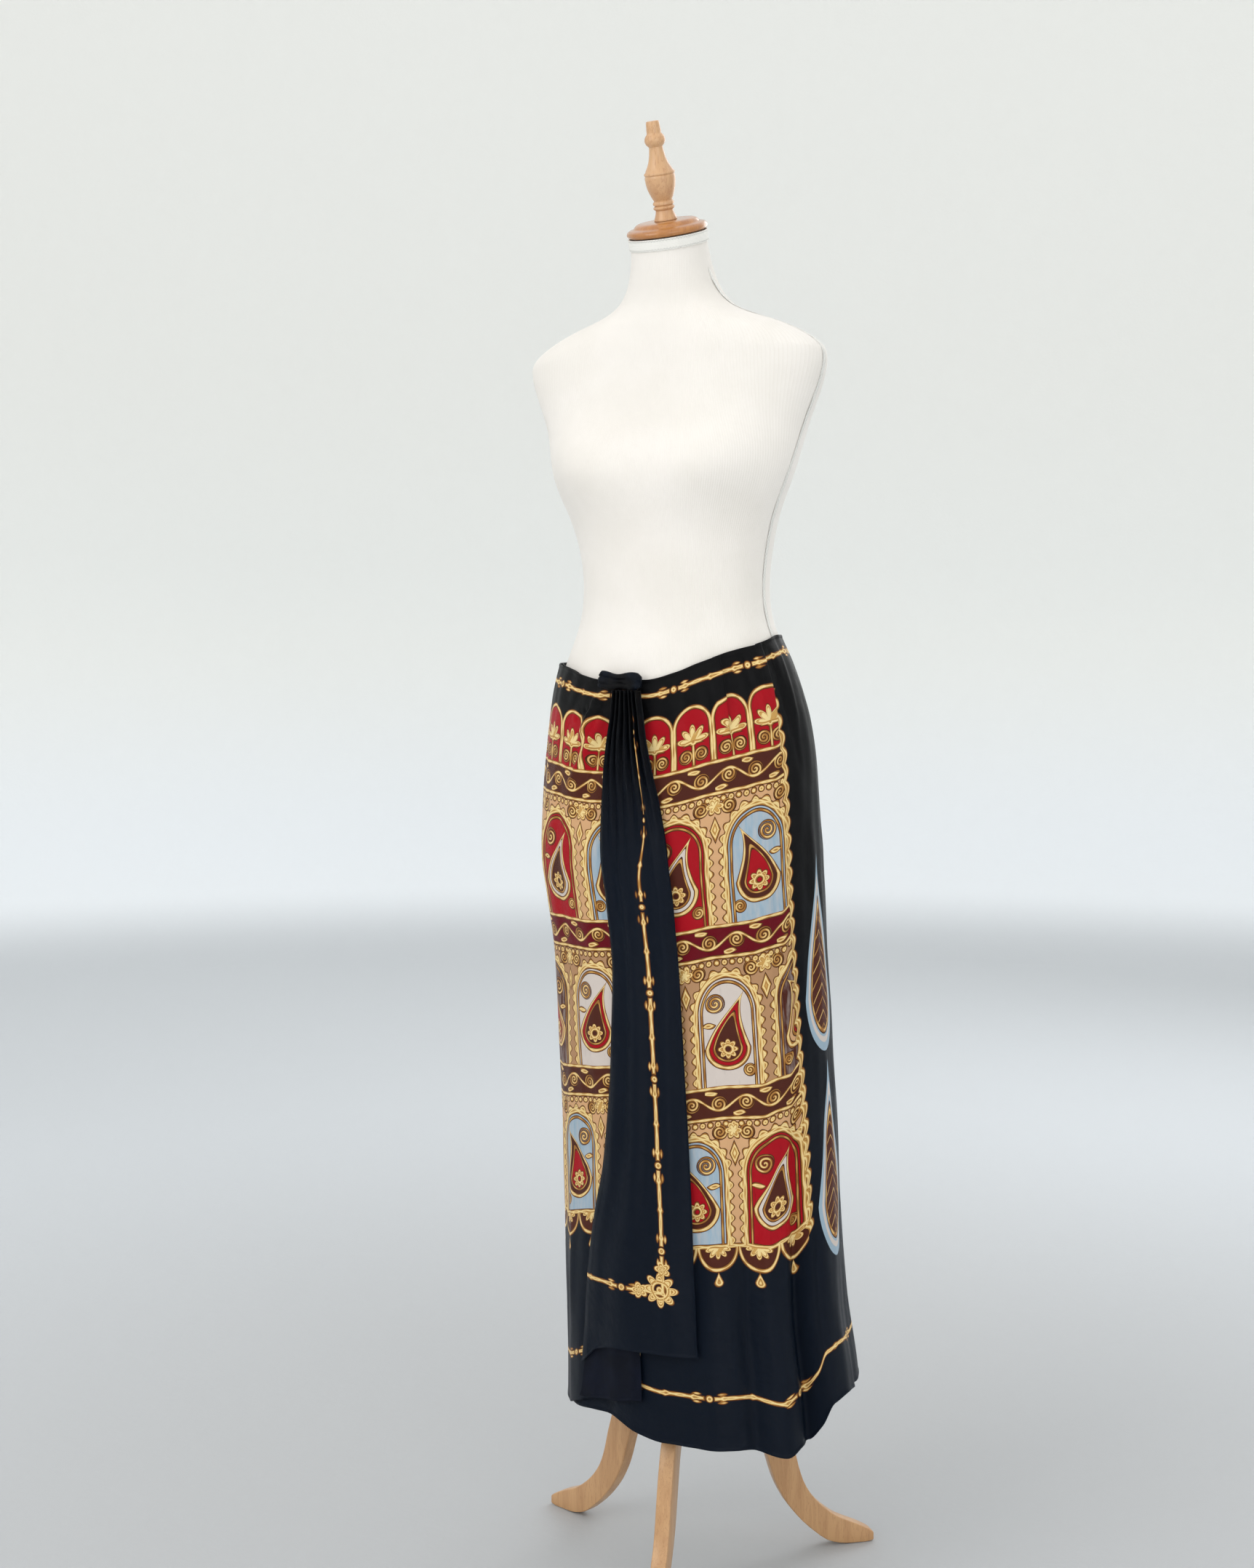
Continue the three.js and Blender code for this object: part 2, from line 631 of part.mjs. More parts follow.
// Outline of a leg: distance from the pole and height, down the under edge and back up the outer edge
const legUnder = [
  [HUB_FLAT + GAP, 226], [44, 223], [62, 213], [78, 197], [90, 175], [98, 150], [105.5, 126], [113.5, 100],
  [126.5, 74], [143.5, 50], [165, 27.5], [183, 12.5], [192, 4.5],
];
const HEEL = [200, 0];
const TOE = [250, 0];
const legOuter = [
  [254.5, 5.5], [251, 13], [240, 21.5], [226.5, 29], [211, 36.5], [196.5, 45], [173.5, 63.5], [157, 86.5],
  [147.5, 114], [139, 147.5], [128, 177], [112, 207], [91, 233], [67, 251], [43, 261], [HUB_FLAT + GAP, 263],
];
const smooth = (points, count) =>
  new THREE.SplineCurve(points.map(([x, y]) => new THREE.Vector2(x, y))).getPoints(count);

function leg() {
  const outline = [
    ...smooth(legUnder, 14),
    new THREE.Vector2(...HEEL),
    new THREE.Vector2(...TOE),
    ...smooth(legOuter, 18),
  ];
  const geometry = new THREE.ExtrudeGeometry(new THREE.Shape(outline), {
    depth: LEG_WIDTH - 2 * LEG_BEVEL,
    bevelThickness: LEG_BEVEL,
    bevelSize: LEG_BEVEL,
    bevelOffset: -LEG_BEVEL,
    bevelSegments: 1,
  });
  geometry.translate(0, 0, LEG_BEVEL - LEG_WIDTH / 2);
  geometry.rotateX(Math.PI / 2);
  return geometry;
}

for (const [name, angle] of Object.entries(LEG_ANGLES)) {
  add(name, leg(), paleWood, stand).rotation.z = rad(angle - 90);
}

// The origin is on the floor, in the middle of the whole
part.updateMatrixWorld(true);
const bounds = new THREE.Box3().setFromObject(part);
const middle = bounds.getCenter(new THREE.Vector3());
part.position.set(-middle.x, -middle.y, -bounds.min.z);

export default part;
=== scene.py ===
# %% [markdown]
# A long silk wrap skirt on a dress form, dressed over its imported frame. The frame holds the true sizes, so
# it is loaded first, and every piece below is made in the same metres, with +Z up and the front towards -Y.

# %% Load the frame
import math

import bpy
import numpy as np
from mathutils import Matrix, Vector
from mathutils.bvhtree import BVHTree


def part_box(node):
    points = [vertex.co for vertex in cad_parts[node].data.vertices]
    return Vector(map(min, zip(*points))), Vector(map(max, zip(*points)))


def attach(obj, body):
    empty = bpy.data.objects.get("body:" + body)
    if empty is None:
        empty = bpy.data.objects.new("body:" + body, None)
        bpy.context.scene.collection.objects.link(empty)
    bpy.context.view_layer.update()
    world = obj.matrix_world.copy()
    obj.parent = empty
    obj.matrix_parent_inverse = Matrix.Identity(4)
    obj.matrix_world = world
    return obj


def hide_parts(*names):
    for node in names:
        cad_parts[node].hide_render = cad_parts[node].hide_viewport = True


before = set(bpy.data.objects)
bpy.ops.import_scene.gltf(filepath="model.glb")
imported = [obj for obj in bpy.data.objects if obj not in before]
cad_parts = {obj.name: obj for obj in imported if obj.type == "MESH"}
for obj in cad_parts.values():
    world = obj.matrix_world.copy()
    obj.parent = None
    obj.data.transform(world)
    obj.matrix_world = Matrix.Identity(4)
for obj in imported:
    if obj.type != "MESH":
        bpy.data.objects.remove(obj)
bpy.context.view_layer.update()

pole_low, pole_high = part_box("pole")
POLE = (pole_low + pole_high) / 2
print("nodes in the frame:", len(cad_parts), "pole at", round(POLE.x, 4), round(POLE.y, 4))

# %% [markdown]
# The photograph was taken from the front, a little to the wearer's left, with the lens just above the waist
# and tipped down by a few degrees. The camera is placed by its distance, height and turn round the stand's
# pole, so that it can be checked against a drawing. The picture's upright side is its long one, and it takes
# the sensor's width.

# %% Camera
PHOTO_HEIGHT = 2156
FOCAL_PIXELS = 2715
POLE_RIGHT_OF_MIDDLE = 88
SENSOR = 36.0
CAMERA_AWAY = 2.5
CAMERA_HIGH = 1.177
CAMERA_ROUND = math.radians(25)
CAMERA_DOWN = math.radians(3.75)

camera = bpy.data.objects.new("camera", bpy.data.cameras.new("camera"))
bpy.context.scene.collection.objects.link(camera)
camera.data.sensor_width = SENSOR
camera.data.lens = SENSOR * FOCAL_PIXELS / PHOTO_HEIGHT
camera.location = (
    POLE.x + CAMERA_AWAY * math.sin(CAMERA_ROUND),
    POLE.y - CAMERA_AWAY * math.cos(CAMERA_ROUND),
    CAMERA_HIGH,
)
turned_left = math.atan(POLE_RIGHT_OF_MIDDLE / FOCAL_PIXELS)
camera.rotation_euler = (math.pi / 2 - CAMERA_DOWN, 0, CAMERA_ROUND + turned_left)
bpy.context.scene.camera = camera
print("camera lens in mm:", round(camera.data.lens, 2))

# %% [markdown]
# Each finish is a small network of nodes. A network is easier to read when it is written as sums, so a
# helper lets a number that varies over a surface be added, multiplied and compared, and makes the nodes
# behind it.

# %% A number that varies over a surface
def math_node(tree, operation, *values):
    node = tree.nodes.new("ShaderNodeMath")
    node.operation = operation
    for socket, value in zip(node.inputs, values):
        if isinstance(value, Field):
            tree.links.new(value.socket, socket)
        else:
            socket.default_value = value
    return Field(tree, node.outputs[0])


class Field:
    """A number that varies over a surface. Each sum, product or comparison of fields makes one Math node."""

    def __init__(self, tree, socket):
        self.tree = tree
        self.socket = socket

    def math(self, operation, *values):
        return math_node(self.tree, operation, self, *values)

    def __add__(self, other):
        return self.math("ADD", other)

    def __sub__(self, other):
        return self.math("SUBTRACT", other)

    def __rsub__(self, other):
        return math_node(self.tree, "SUBTRACT", other, self)

    def __mul__(self, other):
        return self.math("MULTIPLY", other)

    def __truediv__(self, other):
        return self.math("DIVIDE", other)

    def __abs__(self):
        return self.math("ABSOLUTE")

    def __neg__(self):
        return self.math("MULTIPLY", -1.0)

    __radd__ = __add__
    __rmul__ = __mul__

    def least(self, other):
        return self.math("MINIMUM", other)

    def most(self, other):
        return self.math("MAXIMUM", other)

    def below(self, other):
        return self.math("LESS_THAN", other)

    def above(self, other):
        return self.math("GREATER_THAN", other)

    def part(self):
        return self.math("FRACT")

    def whole(self):
        return self.math("FLOOR")

    def sine(self):
        return self.math("SINE")

    def cosine(self):
        return self.math("COSINE")


def paired(x, y):
    """Two fields as the first two numbers of one place."""
    node = x.tree.nodes.new("ShaderNodeCombineXYZ")
    x.tree.links.new(x.socket, node.inputs[0])
    x.tree.links.new(y.socket, node.inputs[1])
    return node.outputs[0]


def far(x, y):
    """How far a place is from the origin of x and y."""
    node = x.tree.nodes.new("ShaderNodeVectorMath")
    node.operation = "LENGTH"
    x.tree.links.new(paired(x, y), node.inputs[0])
    return Field(x.tree, node.outputs["Value"])


def ramp(field, start, end):
    """0 at start and 1 at end, softly."""
    node = field.tree.nodes.new("ShaderNodeMapRange")
    node.interpolation_type = "SMOOTHSTEP"
    field.tree.links.new(field.socket, node.inputs["Value"])
    node.inputs["From Min"].default_value = start
    node.inputs["From Max"].default_value = end
    return Field(field.tree, node.outputs["Result"])


# %% Colours and coats of paint
def srgb(red, green, blue):
    """A colour as a screen shows it, 0 to 255, as the linear colour that a shader takes."""
    return tuple(
        (c / 255 / 12.92 if c / 255 <= 0.04045 else ((c / 255 + 0.055) / 1.055) ** 2.4)
        for c in (red, green, blue)
    ) + (1.0,)


def paint(tree, under, over, mask):
    """The colour over laid on the colour under where mask is 1. Either may be a plain colour or a socket."""
    node = tree.nodes.new("ShaderNodeMix")
    node.data_type = "RGBA"
    if isinstance(mask, Field):
        tree.links.new(mask.socket, node.inputs[0])
    else:
        node.inputs[0].default_value = mask
    for socket, colour in ((node.inputs[6], under), (node.inputs[7], over)):
        if isinstance(colour, bpy.types.NodeSocket):
            tree.links.new(colour, socket)
        else:
            socket.default_value = colour
    return node.outputs[2]


def new_material(name, roughness):
    """A material with one Principled shader, whose plain values are set on the shader's own sockets."""
    material = bpy.data.materials.new(name)
    material.use_nodes = True
    tree = material.node_tree
    shader = tree.nodes["Principled BSDF"]
    shader.inputs["Roughness"].default_value = roughness
    return material, tree, shader


def colour_with(tree, shader, colour):
    tree.links.new(colour, shader.inputs["Base Color"])


def raise_by(tree, shader, height, distance):
    """Bump: the shading of a surface that rises by distance, in metres, where height is 1."""
    node = tree.nodes.new("ShaderNodeBump")
    node.inputs["Distance"].default_value = distance
    tree.links.new(height.socket, node.inputs["Height"])
    tree.links.new(node.outputs["Normal"], shader.inputs["Normal"])


def noise(tree, place, scale, detail=3.0, roughness=0.55):
    node = tree.nodes.new("ShaderNodeTexNoise")
    node.inputs["Scale"].default_value = scale
    node.inputs["Detail"].default_value = detail
    node.inputs["Roughness"].default_value = roughness
    tree.links.new(place, node.inputs["Vector"])
    return Field(tree, node.outputs["Fac"])


def numbers_of(tree, place):
    parts = tree.nodes.new("ShaderNodeSeparateXYZ")
    tree.links.new(place, parts.inputs[0])
    return [Field(tree, parts.outputs[i]) for i in range(3)]


def surface_place(tree):
    """The place of a point on the object, and its three numbers."""
    place = tree.nodes.new("ShaderNodeTexCoord").outputs["Object"]
    return place, numbers_of(tree, place)


def cloth_place(tree, uv_map):
    """The place of a point on a cloth's own map, and its two numbers, in metres of cloth."""
    node = tree.nodes.new("ShaderNodeUVMap")
    node.uv_map = uv_map
    across, along, _ = numbers_of(tree, node.outputs[0])
    return node.outputs[0], across, along


print("helpers for finishes are ready")

# %% [markdown]
# The studio is a pale room: a level floor that turns up into a wall in one soft curve, all the way round, so
# that no edge shows behind the form from any side. It is a disc whose rim is extruded and widened step by
# step. The floor is painted darker near the form, as painted shade round it, and lighter further out; the
# colour then changes with the height up the wall.

# %% Floor and wall
def select_only(obj):
    bpy.ops.object.select_all(action="DESELECT")
    obj.select_set(True)
    bpy.context.view_layer.objects.active = obj


def named(name):
    """The object that an operator has just made, under its own name."""
    obj = bpy.context.active_object
    obj.name = name
    obj.data.name = name
    return obj


def shade_smooth(obj, degrees=None):
    select_only(obj)
    if degrees is None:
        bpy.ops.object.shade_smooth()
    else:
        bpy.ops.object.shade_smooth_by_angle(angle=math.radians(degrees))


ROOM_RADIUS = 5.2
ROOM_CURVE = 1.6
ROOM_HIGH = 6.5
CURVE_STEPS = 12
RIM = 0.001

bpy.ops.object.select_all(action="DESELECT")
bpy.ops.mesh.primitive_circle_add(vertices=128, radius=ROOM_RADIUS, fill_type="NGON", location=(0, 0, 0))
room = named("room")
bpy.ops.object.mode_set(mode="EDIT")
bpy.ops.mesh.select_all(action="SELECT")
bpy.ops.mesh.inset(thickness=RIM)
bpy.ops.mesh.select_all(action="INVERT")
bpy.ops.mesh.delete(type="FACE")
bpy.ops.mesh.select_all(action="DESELECT")
bpy.ops.mesh.select_mode(type="EDGE")
bpy.ops.mesh.select_non_manifold()
radius_now = ROOM_RADIUS - RIM
for step in range(1, CURVE_STEPS + 1):
    before, after = (math.pi / 2 * s / CURVE_STEPS for s in (step - 1, step))
    up = ROOM_CURVE * (math.cos(before) - math.cos(after))
    out = ROOM_CURVE * (math.sin(after) - math.sin(before))
    bpy.ops.mesh.extrude_region_move(TRANSFORM_OT_translate={"value": (0, 0, up)})
    bpy.ops.transform.resize(value=((radius_now + out) / radius_now,) * 2 + (1,))
    radius_now += out
bpy.ops.mesh.extrude_region_move(TRANSFORM_OT_translate={"value": (0, 0, ROOM_HIGH - ROOM_CURVE)})
bpy.ops.object.mode_set(mode="OBJECT")
shade_smooth(room)

material, tree, shader = new_material("pale_room", 0.9)
place, (x, y, z) = surface_place(tree)
FLOOR = srgb(180, 182, 184)
FAR_FLOOR = srgb(203, 207, 211)
LOW_WALL = srgb(240, 244, 248)
MIDDLE_WALL = srgb(245, 246, 243)
HIGH_WALL = srgb(244, 244, 240)
wall_colour = paint(tree, LOW_WALL, MIDDLE_WALL, ramp(z, 0.3, 1.3))
wall_colour = paint(tree, wall_colour, HIGH_WALL, ramp(z, 1.3, 2.6))
# Painted shade: the floor is darkest close to the form and lightens from 0.5 m to 2.8 m away.
floor_with_painted_shade = paint(tree, FLOOR, FAR_FLOOR, ramp(far(x, y), 0.5, 2.8))
wall_colour = paint(tree, floor_with_painted_shade, wall_colour, ramp(z, 0.0, 0.2))
colour_with(tree, shader, wall_colour)
raise_by(tree, shader, noise(tree, place, 90.0), 0.0006)
room.data.materials.append(material)
print("room faces:", len(room.data.polygons))

# %% [markdown]
# Daylight from large windows is soft: a big lamp at the front left of the picture models the folds, a
# weaker one fills the right, a third lights the wall and the shoulders from behind, and a pale sky does the
# rest. Area lamps are wide, so no shadow has a hard edge.

# %% Light
MIDDLE = Vector((0, 0, 1.1))


def lamp(name, place, width, watts, colour):
    """A square lamp that looks at the middle of the form."""
    data = bpy.data.lights.new(name, "AREA")
    data.shape = "SQUARE"
    data.size = width
    data.energy = watts
    data.color = colour
    obj = bpy.data.objects.new(name, data)
    bpy.context.scene.collection.objects.link(obj)
    obj.location = place
    obj.rotation_euler = (MIDDLE - Vector(place)).to_track_quat("-Z", "Y").to_euler()


lamp("window", (-1.5, -3.4, 2.6), width=2.4, watts=45, colour=(1.0, 0.985, 0.965))
lamp("window_low", (2.6, -2.6, 1.5), width=2.2, watts=26, colour=(1.0, 0.99, 0.98))
lamp("window_back", (0.6, 3.4, 2.8), width=2.4, watts=38, colour=(0.98, 0.99, 1.0))
world = bpy.data.worlds.new("soft_sky")
bpy.context.scene.world = world
world.use_nodes = True
sky = world.node_tree.nodes["Background"]
sky.inputs["Color"].default_value = (0.985, 0.992, 1.0, 1.0)
sky.inputs["Strength"].default_value = 1.08
bpy.context.scene.view_settings.view_transform = "Standard"
print("lamps:", len(bpy.data.lights))

# %% [markdown]
# The skirt hangs as nearly level ovals that widen from the waist to the hem and drift a little to the
# wearer's left. A table gives each oval's middle, half width and half depth. Its heights, and all that
# follow for the skirt and the neck, are measured from BASE, a level 28 mm above the floor. The angle round
# the body starts at the front and grows towards the wearer's left, so the left side seam is at 90 degrees.

# %% Tables and smooth curves
def table(names, rows):
    return [dict(zip(names.split(), row)) for row in rows]


def look(rows, key, column, x):
    """The value of a column where the key column is x, on a smooth curve with no overshoot."""
    keys = np.array([row[key] for row in rows], float)
    values = np.array([row[column] for row in rows], float)
    steps = np.diff(keys)
    rises = np.diff(values) / steps
    slopes = np.zeros(len(rows))
    before, after = rises[:-1], rises[1:]
    same_way = before * after > 0
    slopes[1:-1][same_way] = (2 * before * after / (before + after + 1e-30))[same_way]
    i = np.clip(np.searchsorted(keys, x, side="right") - 1, 0, len(rows) - 2)
    t = np.clip((x - keys[i]) / steps[i], 0, 1)
    rise, fall = slopes[i] * steps[i], slopes[i + 1] * steps[i]
    a, b = values[i], values[i + 1]
    return a + t * (rise + t * (3 * (b - a) - 2 * rise - fall + t * (rise + fall - 2 * (b - a))))


def mix(a, b, t):
    return a + (b - a) * t


def bump(x):
    return np.exp(-x * x)


def ease(x, a, b):
    """0 where x is a, 1 where x is b, softly."""
    t = np.clip((x - a) / (b - a), 0, 1)
    return t * t * (3 - 2 * t)


# %% Sections of the skirt
BASE = 0.028
skirt_sections = table("z x y half deep", [
    (0.140, 0.040, -0.008, 0.195, 0.138),
    (0.237, 0.036, -0.008, 0.192, 0.135),
    (0.348, 0.026, -0.008, 0.185, 0.131),
    (0.532, 0.019, -0.010, 0.181, 0.128),
    (0.698, 0.011, -0.014, 0.179, 0.127),
    (0.771, 0.008, -0.017, 0.178, 0.127),
    (0.845, 0.003, -0.023, 0.181, 0.129),
    (0.900, 0.000, -0.028, 0.183, 0.130),
    (0.950, 0.000, -0.030, 0.180, 0.128),
    (1.011, 0.000, -0.030, 0.176, 0.125),
    (1.066, 0.000, -0.033, 0.169, 0.121),
    (1.103, 0.000, -0.038, 0.161, 0.116),
    (1.140, 0.000, -0.042, 0.149, 0.107),
    (1.160, 0.000, -0.043, 0.140, 0.100),
    (1.180, 0.000, -0.044, 0.1315, 0.0945),
    (1.200, 0.000, -0.045, 0.126, 0.091),
    (1.215, 0.000, -0.045, 0.124, 0.0898),
])
waist_line = table("at z", [
    (-180, 1.162), (-110, 1.142), (-90, 1.139), (-70, 1.138), (-51, 1.134), (-42, 1.1305), (-33, 1.1245),
    (-17, 1.1185), (4, 1.119), (18, 1.128), (29, 1.139), (45, 1.152), (67, 1.163), (93, 1.173), (110, 1.173),
    (140, 1.170), (180, 1.162),
])
under_hem = table("at z", [
    (-90, 0.200), (-58, 0.194), (-26, 0.2035), (-15, 0.194), (-2, 0.187), (13, 0.188), (28, 0.191),
    (36, 0.187), (45, 0.183), (53, 0.193), (60, 0.195), (64, 0.212), (70, 0.240), (80, 0.248), (92, 0.245),
])
back_hem = table("at z", [
    (88, 0.245), (110, 0.236), (130, 0.241), (180, 0.234), (225, 0.217), (270, 0.200),
])
upper_hem = table("at z", [(-90, 0.200), (-58, 0.191), (-26, 0.221), (-8, 0.234)])
hips = skirt_sections[7]
print("hips round, in metres:", round(math.pi * (hips["half"] + hips["deep"]), 3))

# %% [markdown]
# Folds give hung silk its life. The large ones are shared by every layer, because a lower layer pushes the
# upper one out. Each is a soft ridge or trough with a place at the hem and at its head, so it may lean, and
# it fades in over a stretch of height. Small creases are strokes between two places, as uneven as real
# ones.

# %% Folds that every layer shares
drape_folds = table("hem head start full spread depth", [
    (4, 6, 0.520, 0.220, 9, -0.003),
    (20, 22, 0.620, 0.240, 8, 0.005),
    (34.5, 38, 0.700, 0.250, 4.5, -0.009),
    (46, 47, 0.640, 0.250, 6, 0.007),
    (59, 62, 0.760, 0.260, 4, -0.016),
    (76, 74, 0.700, 0.240, 10, 0.008),
    (103, 100, 0.640, 0.240, 9, -0.007),
    (124, 122, 0.760, 0.230, 10, 0.008),
    (143, 146, 0.600, 0.230, 8, -0.009),
    (163, 160, 0.700, 0.230, 10, 0.007),
    (184, 186, 0.560, 0.230, 9, -0.010),
    (205, 202, 0.680, 0.230, 11, 0.007),
    (226, 228, 0.620, 0.230, 8, -0.008),
    (247, 244, 0.700, 0.230, 10, 0.005),
    (312, 316, 0.560, 0.230, 9, 0.004),
    (330, 330, 0.480, 0.230, 7, -0.004),
])
WAVE_TALL = 0.0005


def drape(at, z):
    """How far the large folds push the cloth out, with a slow wave so that no stretch is quite even."""
    angle = np.where(at < -88, at + 360, at)
    out = np.zeros_like(z)
    for fold in drape_folds:
        middle = mix(fold["hem"], fold["head"], ease(z, fold["full"], fold["start"]))
        away = (angle - middle + 180) % 360 - 180
        out += fold["depth"] * bump(away / fold["spread"]) * ease(z, fold["start"], fold["full"])
    slow_wave = np.sin(at * 0.23 + 9 * z) * np.sin(31 * z + at * 0.11) + 0.6 * np.sin(at * 0.61 - 14 * z)
    return out + WAVE_TALL * slow_wave


def strokes(folds, place, z):
    """How far folds that run between two places push the cloth out."""
    out = np.zeros_like(z)
    for fold in folds:
        way = (fold["from_z"] - z) / (fold["from_z"] - fold["to_z"])
        fade = ease(way, -0.12, 0.15) * ease(way, 1.15, 0.75)
        middle = mix(fold["start"], fold["end"], np.clip(way, 0, 1))
        out += fold["depth"] * fade * bump((place - middle) / fold["spread"])
    return out


def cloth_point(at, z, out):
    """A point in the middle of the cloth, in the row frame."""
    section = {column: look(skirt_sections, "z", column, z) for column in ("x", "y", "half", "deep")}
    out = out + drape(at, z)
    angle = np.radians(at)
    across = section["x"] + (section["half"] + out) * np.sin(angle)
    forward = section["y"] - (section["deep"] + out) * np.cos(angle)
    return np.stack([POLE.x + across, POLE.y + forward, BASE + z], axis=-1)


print("shared folds:", len(drape_folds))

# %% [markdown]
# A panel is a grid of points with a map of its own, in metres of the flat cloth, so that a print lies on it
# as it was printed, before tucks and gathers took it up. It is a single face thick at first. Solidify then
# gives it the thickness of silk, and a vertex group makes the rolled hem at its edges thicker than the
# rest. It has the first material on its right side and the second on its wrong side.

# %% From a grid of points to a sheet of silk
SILK_THICK = 0.0005
HEM_THICK = 0.0016
HEM_TALL = 0.0032
REFERENCE_Z = 0.8


def arc_length(at):
    """How far round the cloth an angle is from the front, measured on one level section."""
    half, deep = (float(look(skirt_sections, "z", c, np.array(REFERENCE_Z))) for c in ("half", "deep"))
    angles = np.radians(np.linspace(-180, 360, 2161))
    steps = np.hypot(half * np.cos(angles), deep * np.sin(angles)) * (angles[1] - angles[0])
    total = np.cumsum(steps)
    total -= np.interp(0, angles, total)
    return np.interp(np.radians(at), angles, total)


def rows_between(count):
    """Shares of the way down a panel: even, with close rows in the rolled hem at both ends."""
    hem = [0, 0.0012, 0.0026, 0.0036, 0.006]
    inner = np.linspace(hem[-1], 1 - hem[-1], count)[1:-1]
    return np.array([*hem, *inner, *[1 - h for h in reversed(hem)]])


def corner_vertices(mesh):
    """The vertex at each corner of each face, in the order that a map is kept in."""
    corners = np.zeros(len(mesh.loops), int)
    mesh.loops.foreach_get("vertex_index", corners)
    return corners


def add_map(mesh, name, pairs):
    """A map of a mesh, from a pair of numbers for each vertex."""
    layer = mesh.uv_layers.new(name=name)
    layer.data.foreach_set("uv", pairs[corner_vertices(mesh)].astype(np.float32).ravel())


def dress(obj, node):
    """Hangs a finished piece from the root, and hides the node of the frame that it stands for."""
    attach(obj, "root")
    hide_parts(node)


def sheet_of_silk(name, points, cloth, materials, hem_mask):
    rows, columns = points.shape[:2]
    index = np.arange(rows * columns).reshape(rows, columns)
    quads = np.stack([index[:-1, :-1], index[1:, :-1], index[1:, 1:], index[:-1, 1:]], axis=-1).reshape(-1, 4)
    mesh = bpy.data.meshes.new(name)
    mesh.from_pydata(points.reshape(-1, 3).tolist(), [], quads.tolist())
    add_map(mesh, "cloth", cloth.reshape(-1, 2))
    obj = bpy.data.objects.new(name, mesh)
    bpy.context.scene.collection.objects.link(obj)
    for material in materials:
        mesh.materials.append(material)
    group = obj.vertex_groups.new(name="rolled_hem")
    group.add(np.flatnonzero(hem_mask.ravel()).tolist(), 1.0, "REPLACE")
    solidify = obj.modifiers.new("thickness", "SOLIDIFY")
    solidify.offset = 0
    solidify.material_offset = 1
    solidify.thickness = HEM_THICK
    solidify.vertex_group = "rolled_hem"
    solidify.thickness_vertex_group = SILK_THICK / HEM_THICK
    select_only(obj)
    bpy.ops.object.modifier_apply(modifier="thickness")
    shade_smooth(obj, 60)
    print(name, "faces:", len(obj.data.polygons))
    return obj


# %% [markdown]
# The print. A scarf like this has a black ground, a gold line with beads near every edge, and a rich field
# of ornament. This one carries ornament of an old kind: rows of arches with a paisley in each, running
# vines between the rows, and a scalloped heading with palmettes. Each shape is written as a distance that
# is negative inside it, so an outline, a gilded edge and a highlight come from one formula.

# %% Shapes of the ornament
def petals(x, y, count, radius, dip):
    """A flower with a number of petals."""
    angle = math_node(x.tree, "ARCTAN2", y, x)
    edge = abs((angle * (count / 2)).cosine()) * dip + (1 - dip)
    return far(x, y) - edge * radius


def paisley(x, y, radius, bend):
    """A paisley: a round foot at the origin that narrows upwards to a tip bent to one side. 1 at its edge."""
    tall = (y / radius).most(0)
    foot = (y / radius).least(0)
    across = (x / radius) - tall * tall * bend
    return far(across / (1.0 - tall * 0.37).most(0.04), foot + tall * 0.41)


def volute(x, y, radius, half):
    """A scroll that winds in to its eye."""
    angle = math_node(x.tree, "ARCTAN2", y, x)
    away = far(x, y)
    coil = ((angle / (2 * math.pi)) + away / radius * 2.2).part() - 0.5
    return (abs(coil) * (radius / 2.2) - half).most(away - radius)


def leaf(x, y, long, wide):
    """A pointed leaf along x, from -long to long."""
    return (abs(y) - wide) + (x * x) * (wide / long / long)


# %% Colours of the print
BLACK = srgb(10, 10, 12)
# A blue-black tone. Down the skirt it is also the colour of painted cool light on the lower part.
NAVY_TONE_AND_PAINTED_COOL_LIGHT = srgb(11, 19, 31)
CRIMSON = srgb(168, 16, 30)
DARK_CRIMSON = srgb(104, 12, 26)
PEACH = srgb(214, 168, 124)
OYSTER = srgb(214, 202, 194)
BLUE_GREY = srgb(158, 180, 196)
BROWN = srgb(80, 38, 28)
OUTLINE = srgb(72, 38, 22)
DEEP_GOLD = srgb(160, 108, 52)
GOLD = srgb(206, 160, 90)
PALE_GOLD = srgb(240, 214, 152)
RIDGE_WIDE = 0.0036
NOWHERE = 0.01


def glints(u, down):
    """A fast wave that makes the edges of the gold as uneven as brushed work."""
    return (u * 310.0 + down * 190.0).sine()


def only_in(shape, mask):
    """A shape where mask is 1, and nothing where it is 0."""
    return shape.most((0.5 - mask) * NOWHERE)


def gild(tree, colour, shape, light):
    """Lays gold where shape is negative: a brown outline, a deep edge, pale crests and cut lines."""
    colour = paint(tree, colour, OUTLINE, shape.below(0.0009))
    colour = paint(tree, colour, DEEP_GOLD, shape.below(0.0))
    colour = paint(tree, colour, GOLD, (shape + light * 0.0005).below(-0.0007))
    ridge = abs((shape / RIDGE_WIDE + light * 0.16).part() - 0.5)
    inside = shape.below(-0.0010)
    colour = paint(tree, colour, PALE_GOLD, ridge.below(0.20).least(inside))
    return paint(tree, colour, DEEP_GOLD, ridge.above(0.43).least(shape.below(-0.0024)))


BEAD_PITCH = 0.105
BEAD_RADIUS = 0.0043
ROD_HALF = 0.0025
BINDING_PITCH = 0.0350


def from_middle(along, pitch):
    """How far a place is from the middle of its own stretch, where stretches of one pitch are repeated."""
    return ((along / pitch).part() - 0.5) * pitch


def reed_line(along, away):
    """The gold line near the edges: a bound reed, with a bead and two pairs of leaves at even spaces."""
    from_bead = from_middle(along, BEAD_PITCH)
    binding = abs(((along + away * 0.7) / BINDING_PITCH).part() - 0.5).most(0.38) * 0.012 - 0.0046
    rod = (away - ROD_HALF - binding.most(0.0)).most(BEAD_RADIUS + 0.0015 - abs(from_bead))
    bead = far(from_bead, away) - BEAD_RADIUS
    sprig = leaf(abs(from_bead) - 0.015, away - 0.0050, 0.0055, 0.0016)
    return rod.least(bead).least(sprig)


